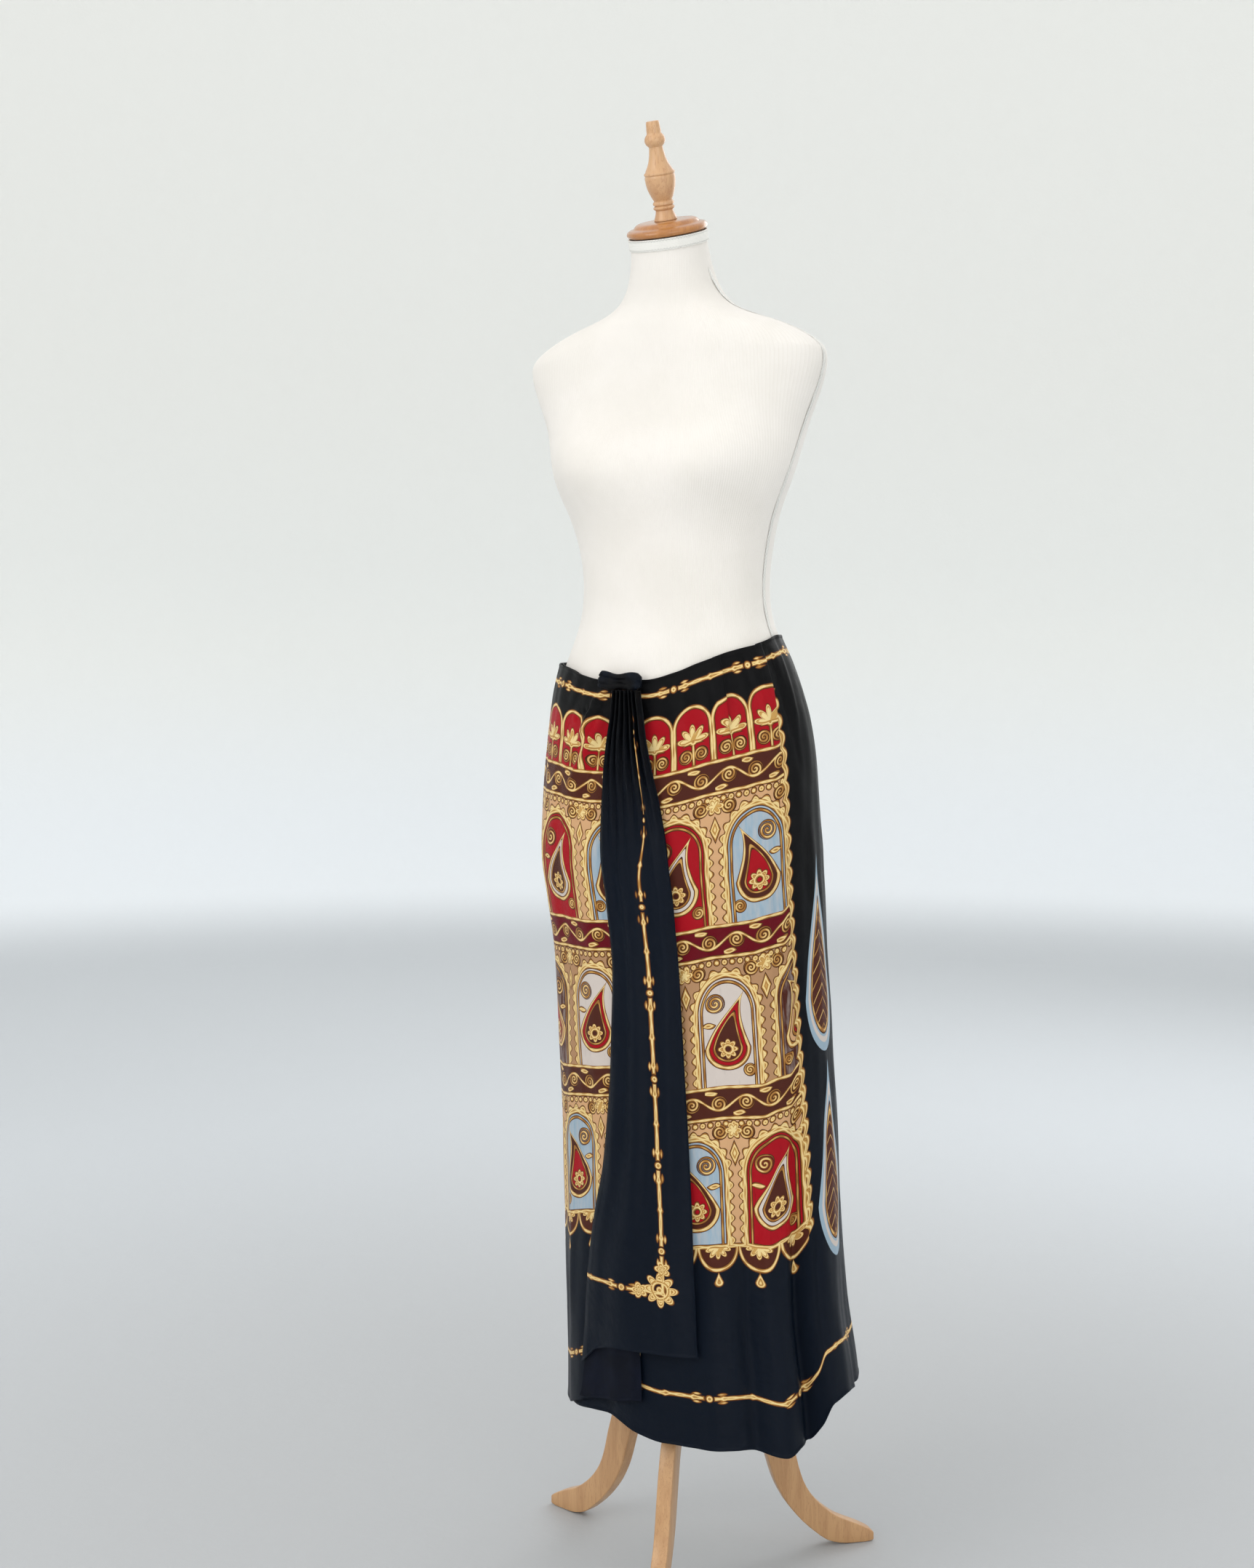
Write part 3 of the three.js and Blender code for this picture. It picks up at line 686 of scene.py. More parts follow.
# %% [markdown]
# The field is drawn once, in one tile, and repeated. A tile is a bay of an arcade: a band with a running
# vine at its head, then an arch that stands on the next band. The colours change from bay to bay and from
# row to row. In the shapes, x runs across a bay from its middle, and up runs from the foot of the arch.

# %% One bay of the field
BAY_WIDE = 0.098
ROW_TALL = 0.196
BAND_TALL = 0.042
FIELD_HEAD = 0.118
FIELD_FOOT = FIELD_HEAD + 3 * ROW_TALL
FIELD_RIGHT = 0.186
FIELD_LEFT_AGAIN = 0.335
SKIRT_LONG = 0.955
ARCH_SPRING = 0.088
ARCH_MARGIN = 0.0095
ARCH_LOBE = 0.0135
DROP_UP = 0.046
DROP_RADIUS = 0.0250
DROP_CORE = 0.66
FLOWER_UP = 0.044
SPRIG_UP = 0.074
VINE_STEP = 0.033
VINE_TALL = 0.0085
PEARL_PITCH = 0.0094


def alternate(number):
    """1 at each odd whole number and 0 at each even one."""
    return (number * 0.5).part().above(0.25)


def field_of_arches(tree, colour, u, down):
    """Rows of arches between FIELD_HEAD and FIELD_FOOT, as a colour and the shapes of the gold."""
    row_place = (down - FIELD_HEAD) / ROW_TALL
    row = row_place.whole()
    y = row_place.part() * ROW_TALL
    shifted = u + row * (BAY_WIDE / 2)
    bay_place = shifted / BAY_WIDE
    bay = bay_place.whole()
    x = (bay_place.part() - 0.5) * BAY_WIDE
    odd = alternate(bay + row)
    low = alternate(row)

    up = ROW_TALL - y
    above_spring = (up - ARCH_SPRING).most(0)
    arch = far(x, above_spring * 0.82) - (BAY_WIDE / 2 - ARCH_MARGIN)
    along_arch = math_node(tree, "ARCTAN2", above_spring, abs(x)) * 0.042 + up.least(ARCH_SPRING)
    lobes = abs((along_arch * (math.pi / ARCH_LOBE)).sine())
    frame_line = abs(arch + 0.0012) - 0.0030
    crockets = (arch - lobes * 0.0062).most(-arch)
    inner_line = abs(arch + 0.0085) - 0.0010

    facing = x * (1.0 - odd * 2.0)
    beside = facing + 0.001
    body = paisley(beside, up - DROP_UP, DROP_RADIUS, 0.125)
    outline = abs(body - 1.0) * DROP_RADIUS - 0.0022
    seam = abs(body - DROP_CORE) * DROP_RADIUS - 0.0010
    flower = petals(beside, up - FLOWER_UP, 8, 0.0125, 0.34)
    heart = far(beside, up - FLOWER_UP) - 0.0034
    tendril = volute(facing + 0.0140, up - 0.100, 0.0112, 0.0015)
    tendril = tendril.least(volute(facing - 0.0240, up - 0.018, 0.0072, 0.0013))
    sprigs = leaf(facing + 0.0225 + (up - SPRIG_UP) * 0.5, up - SPRIG_UP, 0.0080, 0.0034)
    corner = abs(x) - BAY_WIDE / 2
    spandrel = petals(corner, up - 0.141, 6, 0.0110, 0.4)
    spandrel = spandrel.least(volute(abs(corner) - 0.0165, up - 0.1395, 0.0088, 0.0014))
    spandrel = spandrel.least(abs(corner) + abs(up - 0.113) * 0.4 - 0.0058)

    first = paint(tree, CRIMSON, OYSTER, low)
    second = paint(tree, BLUE_GREY, BROWN, low)
    ground = paint(tree, first, second, odd)
    high_body = paint(tree, OYSTER, BROWN, odd)
    low_body = paint(tree, CRIMSON, PEACH, odd)
    body_colour = paint(tree, high_body, low_body, low)
    core_colour = paint(tree, BROWN, CRIMSON, odd)
    spandrel_colour = paint(tree, PEACH, paint(tree, PEACH, BROWN, 0.35), low)

    colour = paint(tree, colour, spandrel_colour, up.below(ROW_TALL))
    colour = paint(tree, colour, ground, arch.below(0.0))
    colour = paint(tree, colour, body_colour, body.below(1.0))
    colour = paint(tree, colour, core_colour, body.below(DROP_CORE))
    brushed = (noise(tree, paired(u * 3.0, down * 0.5), 60.0) - 0.5) * 2.4 + 0.25
    lighter, darker = brushed.most(0.0), (-brushed).most(0.0)
    in_arch = arch.below(0.0).least(body.above(1.0))
    pale = low.most(odd)
    colour = paint(tree, colour, OYSTER, lighter * in_arch.least(pale) * 0.6)
    colour = paint(tree, colour, DARK_CRIMSON, darker * in_arch * (1.0 - pale) * 1.4)
    colour = paint(tree, colour, BROWN, darker * in_arch.least(pale) * 0.35)

    band_y = y - BAND_TALL / 2
    in_band = y.below(BAND_TALL)
    colour = paint(tree, colour, paint(tree, BROWN, DARK_CRIMSON, low), in_band)
    wave = (u * (math.pi / VINE_STEP)).sine() * VINE_TALL
    side = alternate((u / VINE_STEP).whole()) * 2.0 - 1.0
    from_bay = from_middle(u, VINE_STEP)
    across = band_y * side
    vine = abs(band_y - wave) - 0.0019
    curl = volute(from_bay, across + 0.0010, 0.0092, 0.0014)
    leaf_up = leaf(from_bay + across * 0.8, across - 0.0125, 0.0090, 0.0036)
    rails = abs(abs(band_y) - (BAND_TALL / 2 - 0.0022)) - 0.0021
    pearls = far(from_middle(u, PEARL_PITCH), y - BAND_TALL - 0.0046) - 0.0034
    band_gold = vine.least(curl).least(leaf_up).most(abs(band_y) - BAND_TALL / 2)

    arch_gold = frame_line.least(inner_line).least(outline).least(seam).least(crockets)
    arch_gold = arch_gold.least(tendril).least(sprigs)
    arch_gold = arch_gold.least(flower.most(-heart)).least(spandrel).most(BAND_TALL - y)
    gold = arch_gold.least(band_gold).least(rails).least(pearls)
    return colour, gold


# %% The heading, the foot, and the ornament on the black side
LOBE_WIDE = BAY_WIDE / 2
LOBE_RADIUS = LOBE_WIDE / 2 - 0.0015
FEATHER_MIDDLE = 0.233
FEATHER_HEAD = 0.268
FEATHER_TALL = 0.262
FEATHER_HALF = 0.032
RIB_PITCH = 0.017


def heading(tree, colour, u, down):
    """Crimson lobes with a palmette and two scrolls in each, above the first row."""
    x = from_middle(u, LOBE_WIDE)
    top = FIELD_HEAD - 0.047
    lobe = far(x, (top - down).most(0)) - LOBE_RADIUS
    low = down - FIELD_HEAD
    colour = paint(tree, colour, CRIMSON, lobe.most(low).below(0.0))
    rise = top - down + 0.018
    palmette = petals(rise, x, 9, 0.0205, 0.5).most(-rise - 0.003)
    base = far(x, rise) - 0.0050
    scroll = volute(abs(x) - 0.0095, low + 0.0125, 0.0082, 0.0013)
    stem = abs(x).most(-low - 0.030) - 0.0016
    gold = (abs(lobe) - 0.0021).least(palmette).least(base).least(stem).least(scroll)
    return colour, gold.most(low)


def footing(tree, colour, u, down):
    """Brown lobes that hang from the last row, with a drop at each point."""
    x = from_middle(u, LOBE_WIDE)
    low = down - FIELD_FOOT
    lobe = far(x, low * 0.8) - LOBE_RADIUS
    colour = paint(tree, colour, BROWN, lobe.most(-low).below(0.0))
    drop = paisley(x, 0.044 - low, 0.0052, 0.0) * 0.0052 - 0.0052
    shell = petals(low, x, 10, 0.0160, 0.4)
    rail = abs(low) - 0.0026
    gold = (abs(lobe) - 0.0019).least(shell).least(drop).most(-low - 0.0026).least(rail)
    return colour, gold


def side_feathers(tree, colour, u, down):
    """Tall blue-grey feathers with a brown, ribbed heart, one above the other on the black side."""
    x = u - FEATHER_MIDDLE
    y = (1.0 - ((down - FEATHER_HEAD) / FEATHER_TALL).part()) * FEATHER_TALL
    there = down.above(FEATHER_HEAD).least(down.below(FEATHER_HEAD + 2 * FEATHER_TALL))
    blade = paisley(x, (y - 0.080) * 0.44, FEATHER_HALF, 0.02)
    colour = paint(tree, colour, BLUE_GREY, blade.below(1.0).least(there))
    colour = paint(tree, colour, OYSTER, abs(blade - 0.80).below(0.05).least(there))
    colour = paint(tree, colour, BROWN, blade.below(0.62).least(there))
    ribs = abs(from_middle(y + abs(x) * 1.3, RIB_PITCH)) - 0.0013
    edge = abs(blade - 0.64) * FEATHER_HALF - 0.0012
    return colour, only_in(ribs.most(blade * FEATHER_HALF - 0.0190).least(edge), there)


# %% [markdown]
# Printed silk twill has a soft lustre and a weave too fine to see from a step away. The shader has a
# middling roughness, a low specular level, so that the dark ground stays dark, and one bump made of two
# things: slanting twill lines just under a millimetre apart, and faint puckers a few millimetres wide.

# %% Printed silk
TWILL_PITCH = 0.0009
FRAME_LINE_HEAD = FIELD_HEAD - 0.062
HEAD_LINE = 0.020
HEM_LINE = SKIRT_LONG - 0.064


def silk_material(name, roughness=0.35):
    material, tree, shader = new_material(name, roughness)
    shader.inputs["Specular IOR Level"].default_value = 0.09
    return material, tree, shader


def silk_relief(tree, shader, cloth, u, down):
    twill = ((u + down) * (2 * math.pi / TWILL_PITCH)).sine() * 0.06
    puckers = noise(tree, cloth, 70.0, 2.0) + noise(tree, cloth, 19.0, 2.0) * 1.6
    raise_by(tree, shader, twill + puckers, 0.0011)


def printed_silk():
    material, tree, shader = silk_material("printed_silk")
    cloth, u, down = cloth_place(tree, "cloth")
    # Painted light: the ground goes from black at the waist to navy towards the hem, as painted cool light on
    # the lower skirt.
    ground = paint(tree, BLACK, NAVY_TONE_AND_PAINTED_COOL_LIGHT, ramp(down, 0.25, 0.75))
    inside = u.below(FIELD_RIGHT).most(u.above(FIELD_LEFT_AGAIN))
    colour, gold = field_of_arches(tree, ground, u, down)
    in_rows = down.above(FIELD_HEAD).least(down.below(FIELD_FOOT)).least(inside)
    colour = paint(tree, ground, colour, in_rows)
    gold = only_in(gold, in_rows)
    headed, heading_gold = heading(tree, ground, u, down)
    colour = paint(tree, colour, headed, inside.least(down.below(FIELD_HEAD)))
    footed, footing_gold = footing(tree, ground, u, down)
    colour = paint(tree, colour, footed, inside.least(down.above(FIELD_FOOT)))
    gold = gold.least(only_in(heading_gold.least(footing_gold), inside))
    gap = abs(u - (FIELD_RIGHT + FIELD_LEFT_AGAIN) / 2) - (FIELD_LEFT_AGAIN - FIELD_RIGHT) / 2
    frame_side = abs(gap + abs((down * 150.0).sine()) * 0.004) - 0.0036
    frame_side = frame_side.most(FRAME_LINE_HEAD - down).most(down - FIELD_FOOT - 0.02)
    gold = gold.least(frame_side)
    colour, feather_gold = side_feathers(tree, colour, u, down)
    gold = gold.least(feather_gold)
    away = abs(down - HEAD_LINE).least(abs(down - HEM_LINE))
    gold = gold.least(reed_line(u, away))
    colour_with(tree, shader, gild(tree, colour, gold, glints(u, down)))
    silk_relief(tree, shader, cloth, u, down)
    return material


CORNER_FROM_EDGE = 0.036
CORNER_FROM_HEM = 0.078
ROSETTE_IN = 0.004
BUD_AWAY = 0.030


def cascade_silk():
    """The free end of the cloth: bare ground with the gold line round its corner."""
    material, tree, shader = silk_material("black_silk")
    cloth, from_edge, from_hem = cloth_place(tree, "cloth")
    # Painted light: navy low down and black higher up, as painted cool light on the lower skirt, the same as
    # on the printed panels.
    ground = paint(tree, NAVY_TONE_AND_PAINTED_COOL_LIGHT, BLACK, ramp(from_hem, 0.55, 0.85))
    x = from_edge - CORNER_FROM_EDGE
    y = from_hem - CORNER_FROM_HEM
    thinner = ramp(from_hem, 0.40, 0.66) * 0.0012
    gold = reed_line(x.most(y), abs(x.least(y))) + thinner
    rosette = petals(x - ROSETTE_IN, y - ROSETTE_IN, 8, 0.0215, 0.42)
    eye = far(x - ROSETTE_IN, y - ROSETTE_IN) - 0.0062
    bud_below = petals(x - BUD_AWAY, y, 5, 0.0105, 0.4)
    bud_above = petals(x, y - BUD_AWAY, 5, 0.0105, 0.4)
    gold = gold.least(rosette.most(0.0014 - abs(eye))).least(bud_below).least(bud_above)
    colour_with(tree, shader, gild(tree, ground, gold, glints(from_edge, from_hem)))
    silk_relief(tree, shader, cloth, from_edge, from_hem)
    return material


def wrong_side_silk():
    """The wrong side shows the ground a shade bluer and duller."""
    material, tree, shader = silk_material("wrong_side", 0.62)
    cloth, u, down = cloth_place(tree, "cloth")
    cloudy = noise(tree, cloth, 26.0)
    colour_with(tree, shader, paint(tree, srgb(9, 13, 24), srgb(14, 19, 34), ramp(cloudy, 0.3, 0.7)))
    silk_relief(tree, shader, cloth, u, down)
    return material


PRINTED = printed_silk()
BLACK_SILK = cascade_silk()
WRONG_SIDE = wrong_side_silk()
print("nodes in the print:", len(PRINTED.node_tree.nodes))

# %% [markdown]
# The under wrap is the first layer: it runs from the left side seam across the whole front. Two knife tucks
# at its waist take up the cloth between waist and hip. A tuck is an S-fold, so the angle runs back on
# itself there, and the points are closer together where the tucks are.

# %% Under wrap with its knife tucks
tucks = table("at to_at foot half lap proud", [
    (38, 41, 1.000, 3.6, 3.1, 0.0027),
    (65, 64, 0.985, 3.6, 3.1, 0.0027),
])
under_creases = table("start from_z end to_z spread depth", [
    (30, 1.125, 33, 1.050, 2.0, -0.0014),
    (47, 1.135, 49, 1.000, 2.6, -0.0016),
    (56, 1.150, 58, 1.060, 2.0, 0.0012),
    (73, 1.150, 77, 1.010, 2.4, -0.0016),
    (83, 1.160, 80, 1.060, 1.8, 0.0013),
    (22, 1.110, 20, 1.030, 2.2, -0.0010),
    (37, 0.990, 33, 0.800, 3.4, 0.0016),
    (27, 0.930, 24, 0.640, 3.0, -0.0018),
    (45, 0.960, 42, 0.700, 3.2, -0.0014),
    (53, 0.900, 52, 0.560, 3.0, 0.0020),
    (66, 0.960, 69, 0.620, 3.0, -0.0018),
    (84, 0.940, 86, 0.560, 3.4, 0.0016),
    (19, 0.700, 16, 0.330, 2.6, -0.0016),
    (29, 0.600, 28, 0.260, 2.2, 0.0014),
    (41, 0.520, 40, 0.230, 2.0, -0.0014),
    (52, 0.480, 53, 0.240, 2.2, 0.0015),
    (70, 0.520, 68, 0.270, 2.4, -0.0014),
    (-20, 0.420, -24, 0.210, 3.0, 0.0020),
    (-42, 0.460, -40, 0.210, 3.4, -0.0020),
])


def under_wrap(u, v):
    z = mix(look(waist_line, "at", "z", u), look(under_hem, "at", "z", u), v)
    at = u.copy()
    out = strokes(under_creases, u, z)
    for tuck in tucks:
        head = float(look(waist_line, "at", "z", np.array(float(tuck["at"]))))
        way = (head - z) / (head - tuck["foot"])
        middle = mix(tuck["at"], tuck["to_at"], np.clip(way, 0, 1))
        s = (u - middle) / tuck["half"]
        lapped = 1 - ease(way, 0.15, 0.85)
        raised = 1 - ease(way, 0.35, 1.1)
        core = np.clip(s, -1, 1)
        skirt_out = np.where(abs(s) > 1, bump((abs(s) - 1) / 1.5), 1)
        at = at - tuck["lap"] * lapped * np.sin(math.pi * core)
        out = out + tuck["proud"] * raised * (bump(s / 3) - np.sin(math.pi * core / 2) * skirt_out)
    z = mix(look(waist_line, "at", "z", at), look(under_hem, "at", "z", u), v)
    return cloth_point(at, z, out)


def hem_rows(v, columns):
    """Which points of a panel lie in the rolled hem at its top and bottom edge."""
    edge = (v < HEM_TALL) | (v > 1 - HEM_TALL)
    return np.repeat(edge[:, None], columns, axis=1)


def panel(name, at, v, surface):
    """A printed panel whose map follows the angle round the body and the share of the way down."""
    u_grid, v_grid = np.meshgrid(at, v)
    cloth = np.stack([arc_length(u_grid), v_grid * SKIRT_LONG], axis=-1)
    points = surface(u_grid, v_grid)
    return sheet_of_silk(name, points, cloth, [PRINTED, WRONG_SIDE], hem_rows(v, len(at)))


under_at = np.concatenate([
    np.linspace(-87, -3, 36)[:-1],
    np.linspace(-3, 33, 34)[:-1],
    np.linspace(33, 43, 38)[:-1],
    np.linspace(43, 60, 20)[:-1],
    np.linspace(60, 69, 36)[:-1],
    np.linspace(69, 90, 26),
])
front_left = panel("under_wrap", under_at, rows_between(150), under_wrap)
dress(front_left, "front_left_panel")

# %% [markdown]
# The back panel closes the tube from seam to seam. It is pushed out a little on the right, where the upper
# wrap starts one layer further out.

# %% Back panel
LAYER = 0.004
back_creases = table("start from_z end to_z spread depth", [
    (100, 1.150, 104, 1.020, 2.8, -0.0014),
    (118, 1.165, 115, 1.040, 2.6, 0.0012),
    (136, 1.175, 139, 1.010, 3.0, -0.0015),
    (158, 1.180, 156, 1.050, 2.4, 0.0012),
    (178, 1.180, 180, 1.030, 3.0, -0.0015),
    (199, 1.180, 203, 1.020, 2.8, 0.0012),
    (222, 1.170, 219, 1.040, 2.8, -0.0014),
    (246, 1.150, 250, 1.020, 2.8, 0.0013),
    (112, 0.980, 114, 0.640, 4.0, 0.0020),
    (133, 0.940, 131, 0.560, 3.6, -0.0020),
    (152, 0.900, 153, 0.500, 4.0, 0.0022),
    (172, 0.960, 170, 0.620, 3.6, -0.0020),
    (194, 0.920, 196, 0.540, 4.0, 0.0020),
    (214, 0.960, 213, 0.580, 3.6, -0.0020),
    (238, 0.940, 240, 0.560, 4.0, 0.0018),
    (258, 0.900, 256, 0.520, 3.4, -0.0016),
    (116, 0.500, 113, 0.270, 2.6, -0.0014),
    (152, 0.460, 154, 0.260, 2.6, 0.0014),
    (193, 0.480, 192, 0.260, 2.8, -0.0014),
    (236, 0.470, 238, 0.250, 2.8, 0.0014),
])


def back_surface(at, v):
    near = np.where(at > 180, at - 360, at)
    z = mix(look(waist_line, "at", "z", near), look(back_hem, "at", "z", at), v)
    return cloth_point(at, z, LAYER * ease(at, 110, 240) + strokes(back_creases, at, z))


back_at = np.linspace(90, 270, 190)
back = panel("back_panel_silk", back_at, rows_between(140), back_surface)
dress(back, "back_panel")

# %% [markdown]
# The upper wrap comes over from the right side and is drawn up into the tab, so creases run from the tab
# across it. It ends at the inner fold of the cascade, where the cloth turns back on itself.

# %% Upper wrap
cascade_edges = table("z inner outer free", [
    (0.200, -9.5, -44, 14.3),
    (0.230, -9.5, -41.5, 14.3),
    (0.305, -9, -37.5, 14.3),
    (0.355, -9, -35.3, 14.6),
    (0.422, -8.5, -31.4, 14.4),
    (0.470, -8, -27.3, 14.4),
    (0.517, -7.5, -23.4, 14.2),
    (0.590, -7, -19.4, 14.1),
    (0.655, -6, -16.6, 14),
    (0.718, -5, -14.6, 14),
    (0.796, -4, -12.9, 14.1),
    (0.857, -3, -12.6, 14.4),
    (0.918, -2, -13.4, 13.4),
    (0.963, -1.5, -13.1, 11),
    (1.008, -1, -12.4, 7.8),
    (1.050, 0, -10.5, 5.4),
    (1.080, 1, -8.8, 4.2),
    (1.107, 2, -8.2, 3.2),
])
drag_creases = table("start from_z end to_z spread depth", [
    (-17, 1.104, -27, 1.046, 2.4, 0.007),
    (-13, 1.082, -33, 0.985, 3.0, 0.006),
    (-22, 0.930, -31, 0.620, 4.5, 0.004),
    (-15, 1.096, -34, 1.066, 1.6, -0.0024),
    (-14, 1.066, -30, 0.940, 1.8, -0.0026),
    (-30, 1.110, -42, 1.040, 2.6, -0.0014),
    (-46, 1.120, -52, 1.020, 3.0, 0.0012),
    (-66, 1.130, -64, 1.000, 3.2, -0.0014),
    (-40, 0.980, -46, 0.700, 4.0, -0.0020),
    (-56, 0.960, -58, 0.640, 4.0, 0.0020),
    (-74, 0.940, -72, 0.600, 3.6, -0.0016),
    (-27, 0.820, -36, 0.480, 3.4, -0.0020),
    (-48, 0.620, -50, 0.300, 3.4, 0.0018),
    (-62, 0.560, -60, 0.260, 3.0, -0.0018),
    (-80, 0.560, -82, 0.280, 3.0, 0.0014),
])
FOLD_GAP = 0.0009


def degrees_of(length, z):
    """A short length across the front, as an angle."""
    return np.degrees(length / look(skirt_sections, "z", "half", z))


def fold_at(edge, z):
    """Where round the body an edge or a fold of the cascade hangs, at a height."""
    return look(cascade_edges, "z", edge, z)


def upper_wrap(u, v):
    near = mix(-90, 0, u)
    z = mix(look(waist_line, "at", "z", near), look(upper_hem, "at", "z", near), v)
    end = fold_at("inner", z) - degrees_of(FOLD_GAP, z)
    at = mix(-90, end, u)
    return cloth_point(at, z, LAYER + strokes(drag_creases, at, z)), at


PRINT_SHIFT = -0.021
u_grid, v_grid = np.meshgrid(np.linspace(0, 1, 116), rows_between(150))
points, at_grid = upper_wrap(u_grid, v_grid)
cloth = np.stack([arc_length(at_grid) + PRINT_SHIFT, v_grid * SKIRT_LONG], axis=-1)
hems = hem_rows(v_grid[:, 0], u_grid.shape[1])
front_right = sheet_of_silk("upper_wrap", points, cloth, [PRINTED, WRONG_SIDE], hems)
dress(front_right, "front_right_panel")

# %% [markdown]
# The cascade is the free end of the upper wrap. Below the tab it folds back, wrong side out, and then
# forward again, so it hangs as two stretches: the return, of which only a corner shows, and the long front
# with the free edge. Gathers leave the tab as narrow, deep folds of uneven width, and spread and flatten on
# their way down. Each stretch starts about half a layer out from the one below it, where the fold between
# them is, and soon lies a whole layer out.

# %% Cascade: the stretch that turns back
RETURN_TOP = 0.980
TURN_ROOM = 0.0028
WALL = 0.0012
TUCKED_UNDER = 0.00084
return_hem = table("along z", [(0, 0.236), (0.3, 0.229), (0.65, 0.222), (0.96, 0.216)])


def cascade_return(u, v):
    z = mix(RETURN_TOP, look(return_hem, "along", "z", u), v)
    turn = fold_at("outer", z) + degrees_of(WALL / 2 + TURN_ROOM, z)
    at = mix(fold_at("inner", z), turn, u)
    out = mix(LAYER - TUCKED_UNDER, 2 * LAYER, ease(u, -0.12, 0.12))
    return cloth_point(at, z, out), at, z


u_grid, v_grid = np.meshgrid(np.linspace(0, 1, 44) ** 1.3, rows_between(110))
points, at_grid, z_grid = cascade_return(u_grid, v_grid)
cloth = np.stack([arc_length(at_grid), z_grid], axis=-1)
hems = hem_rows(v_grid[:, 0], u_grid.shape[1])
back_fold = sheet_of_silk("cascade_turned_back", points, cloth, [WRONG_SIDE, WRONG_SIDE], hems)
dress(back_fold, "cascade_return")

# %% Cascade: the long front with the free edge
TAB_FOOT = 1.107
GATHER_DEEP = 0.0092
GATHER_FOOT = 0.900
GATHERS = 7
TOP_GAP = 0.0006
LOWEST_POINT = 0.297
TAKEN_UP = 2.4
cascade_hem = table("along z", [(0, 0.262), (0.15, 0.284), (0.4, 0.296), (1, 0.300)])
cascade_folds = table("start from_z end to_z spread depth", [
    (0.4, 1.040, 0.1, 0.800, 0.09, -0.0022),
    (0.66, 1.030, 0.6, 0.560, 0.07, -0.002),
    (0.36, 0.860, 0.42, 0.240, 0.1, 0.003),
    (0.78, 0.760, 0.8, 0.240, 0.08, 0.002),
    (0.22, 0.900, 0.25, 0.500, 0.05, -0.0012),
    (0.52, 0.930, 0.54, 0.420, 0.05, -0.0012),
    (0.86, 1.000, 0.88, 0.620, 0.05, 0.0012),
    (0.12, 0.640, 0.16, 0.300, 0.06, 0.0014),
    (0.66, 0.480, 0.68, 0.290, 0.06, -0.0010),
])


def gathers(u, z):
    """Narrow folds under the tab, of uneven width and depth, with sharp troughs between round crests."""
    strength = GATHER_DEEP * ease(z, GATHER_FOOT, TAB_FOOT) + 0.0008 * ease(z, 0.700, GATHER_FOOT)
    uneven = u + 0.018 * np.sin(9.5 * u + z / 0.090)
    crest = 0.5 - 0.5 * np.cos(2 * math.pi * GATHERS * uneven)
    depth = 1 + 0.16 * np.sin(23 * u + 1.3)
    return strength * depth * crest ** 0.8


def cascade_front(u, v):
    z = mix(TAB_FOOT - TOP_GAP, look(cascade_hem, "along", "z", u), v)
    at = mix(fold_at("outer", z), fold_at("free", z), u)
    turned = mix(2 * LAYER - TUCKED_UNDER, 3 * LAYER, ease(u, -0.06, 0.07))
    settled = mix(turned, 2 * LAYER + 0.001, ease(z, 1.010, TAB_FOOT))
    edge = 1.6 * LAYER * ease(u, 0.8, 1) * ease(z, 1.060, 0.960)
    folds = strokes(cascade_folds, u, z) * ease(u, 0, 0.1)
    return cloth_point(at, z, settled - edge + gathers(u, z) + folds), at, z


u_grid, v_grid = np.meshgrid(np.linspace(0, 1, 150), rows_between(160))
points, at_grid, z_grid = cascade_front(u_grid, v_grid)
gathered = 1 + TAKEN_UP * ease(z_grid, 0.870, 1.080)
from_edge = (arc_length(fold_at("free", z_grid)) - arc_length(at_grid)) * gathered
cloth = np.stack([from_edge, z_grid - LOWEST_POINT], axis=-1)
hems = hem_rows(v_grid[:, 0], u_grid.shape[1])
hems[:, -2:] = True
cascade = sheet_of_silk("cascade_front_silk", points, cloth, [BLACK_SILK, WRONG_SIDE], hems)
dress(cascade, "cascade_front")

# %% [markdown]
# The tab is a band of the same silk folded over the gathers and stitched down behind. It is a loft: rounded
# sections along the waist, with two long creases pressed into its face where the layers of the fold end.

# %% Tab over the gathers
TAB_TOP = 1.127
TAB_THICK = 0.008
TAB_FROM, TAB_TO = -17.7, 3.2
TAB_SEAT = LAYER + WALL / 2 + 0.0003
TAB_TWILL = 0.0011


def tab_silk():
    material, tree, shader = silk_material("tab_silk", 0.5)
    place, (x, y, z) = surface_place(tree)
    colour_with(tree, shader, paint(tree, BLACK, NAVY_TONE_AND_PAINTED_COOL_LIGHT, ramp(noise(tree, place, 40.0), 0.35, 0.75)))
    weave = ((x + z) * (2 * math.pi / TAB_TWILL)).sine() * 0.05
    raise_by(tree, shader, weave + noise(tree, place, 120.0, 2.0), 0.0009)
    return material


def squarish(wave):
    """A round section's sine or cosine, made fuller at the corners."""
    return np.sign(wave) * abs(wave) ** 0.6


def tab_points(u, turn):
    """The tab's skin: u runs along the waist, and turn goes round the section from its face."""
    full = np.minimum(1, 0.72 + 4 * np.minimum(u, 1 - u))
    across, up = squarish(np.cos(turn)), squarish(np.sin(turn))
    z = (TAB_TOP + TAB_FOOT) / 2 + mix(0.0015, -0.001, u) + (TAB_TOP - TAB_FOOT) / 2 * full * up
    z = z + 0.0016 * np.sin(9 * u + 0.6) * np.maximum(up, 0) - 0.0012 * np.sin(14 * u) * np.minimum(up, 0)
    press = 0.0020 * bump((up - 0.50 + 0.45 * u) / 0.12) + 0.0016 * bump((up + 0.45 - 0.3 * u) / 0.11)
    pleats = 0.0008 * np.sin(38 * u + 3 * up) * ease(u, 0.45, 1.0)
    deep = TAB_THICK / 2
    out = TAB_SEAT + deep * full * (1 + across) + (pleats - press) * (across > 0)
    return cloth_point(mix(TAB_FROM, TAB_TO, u), z, out)


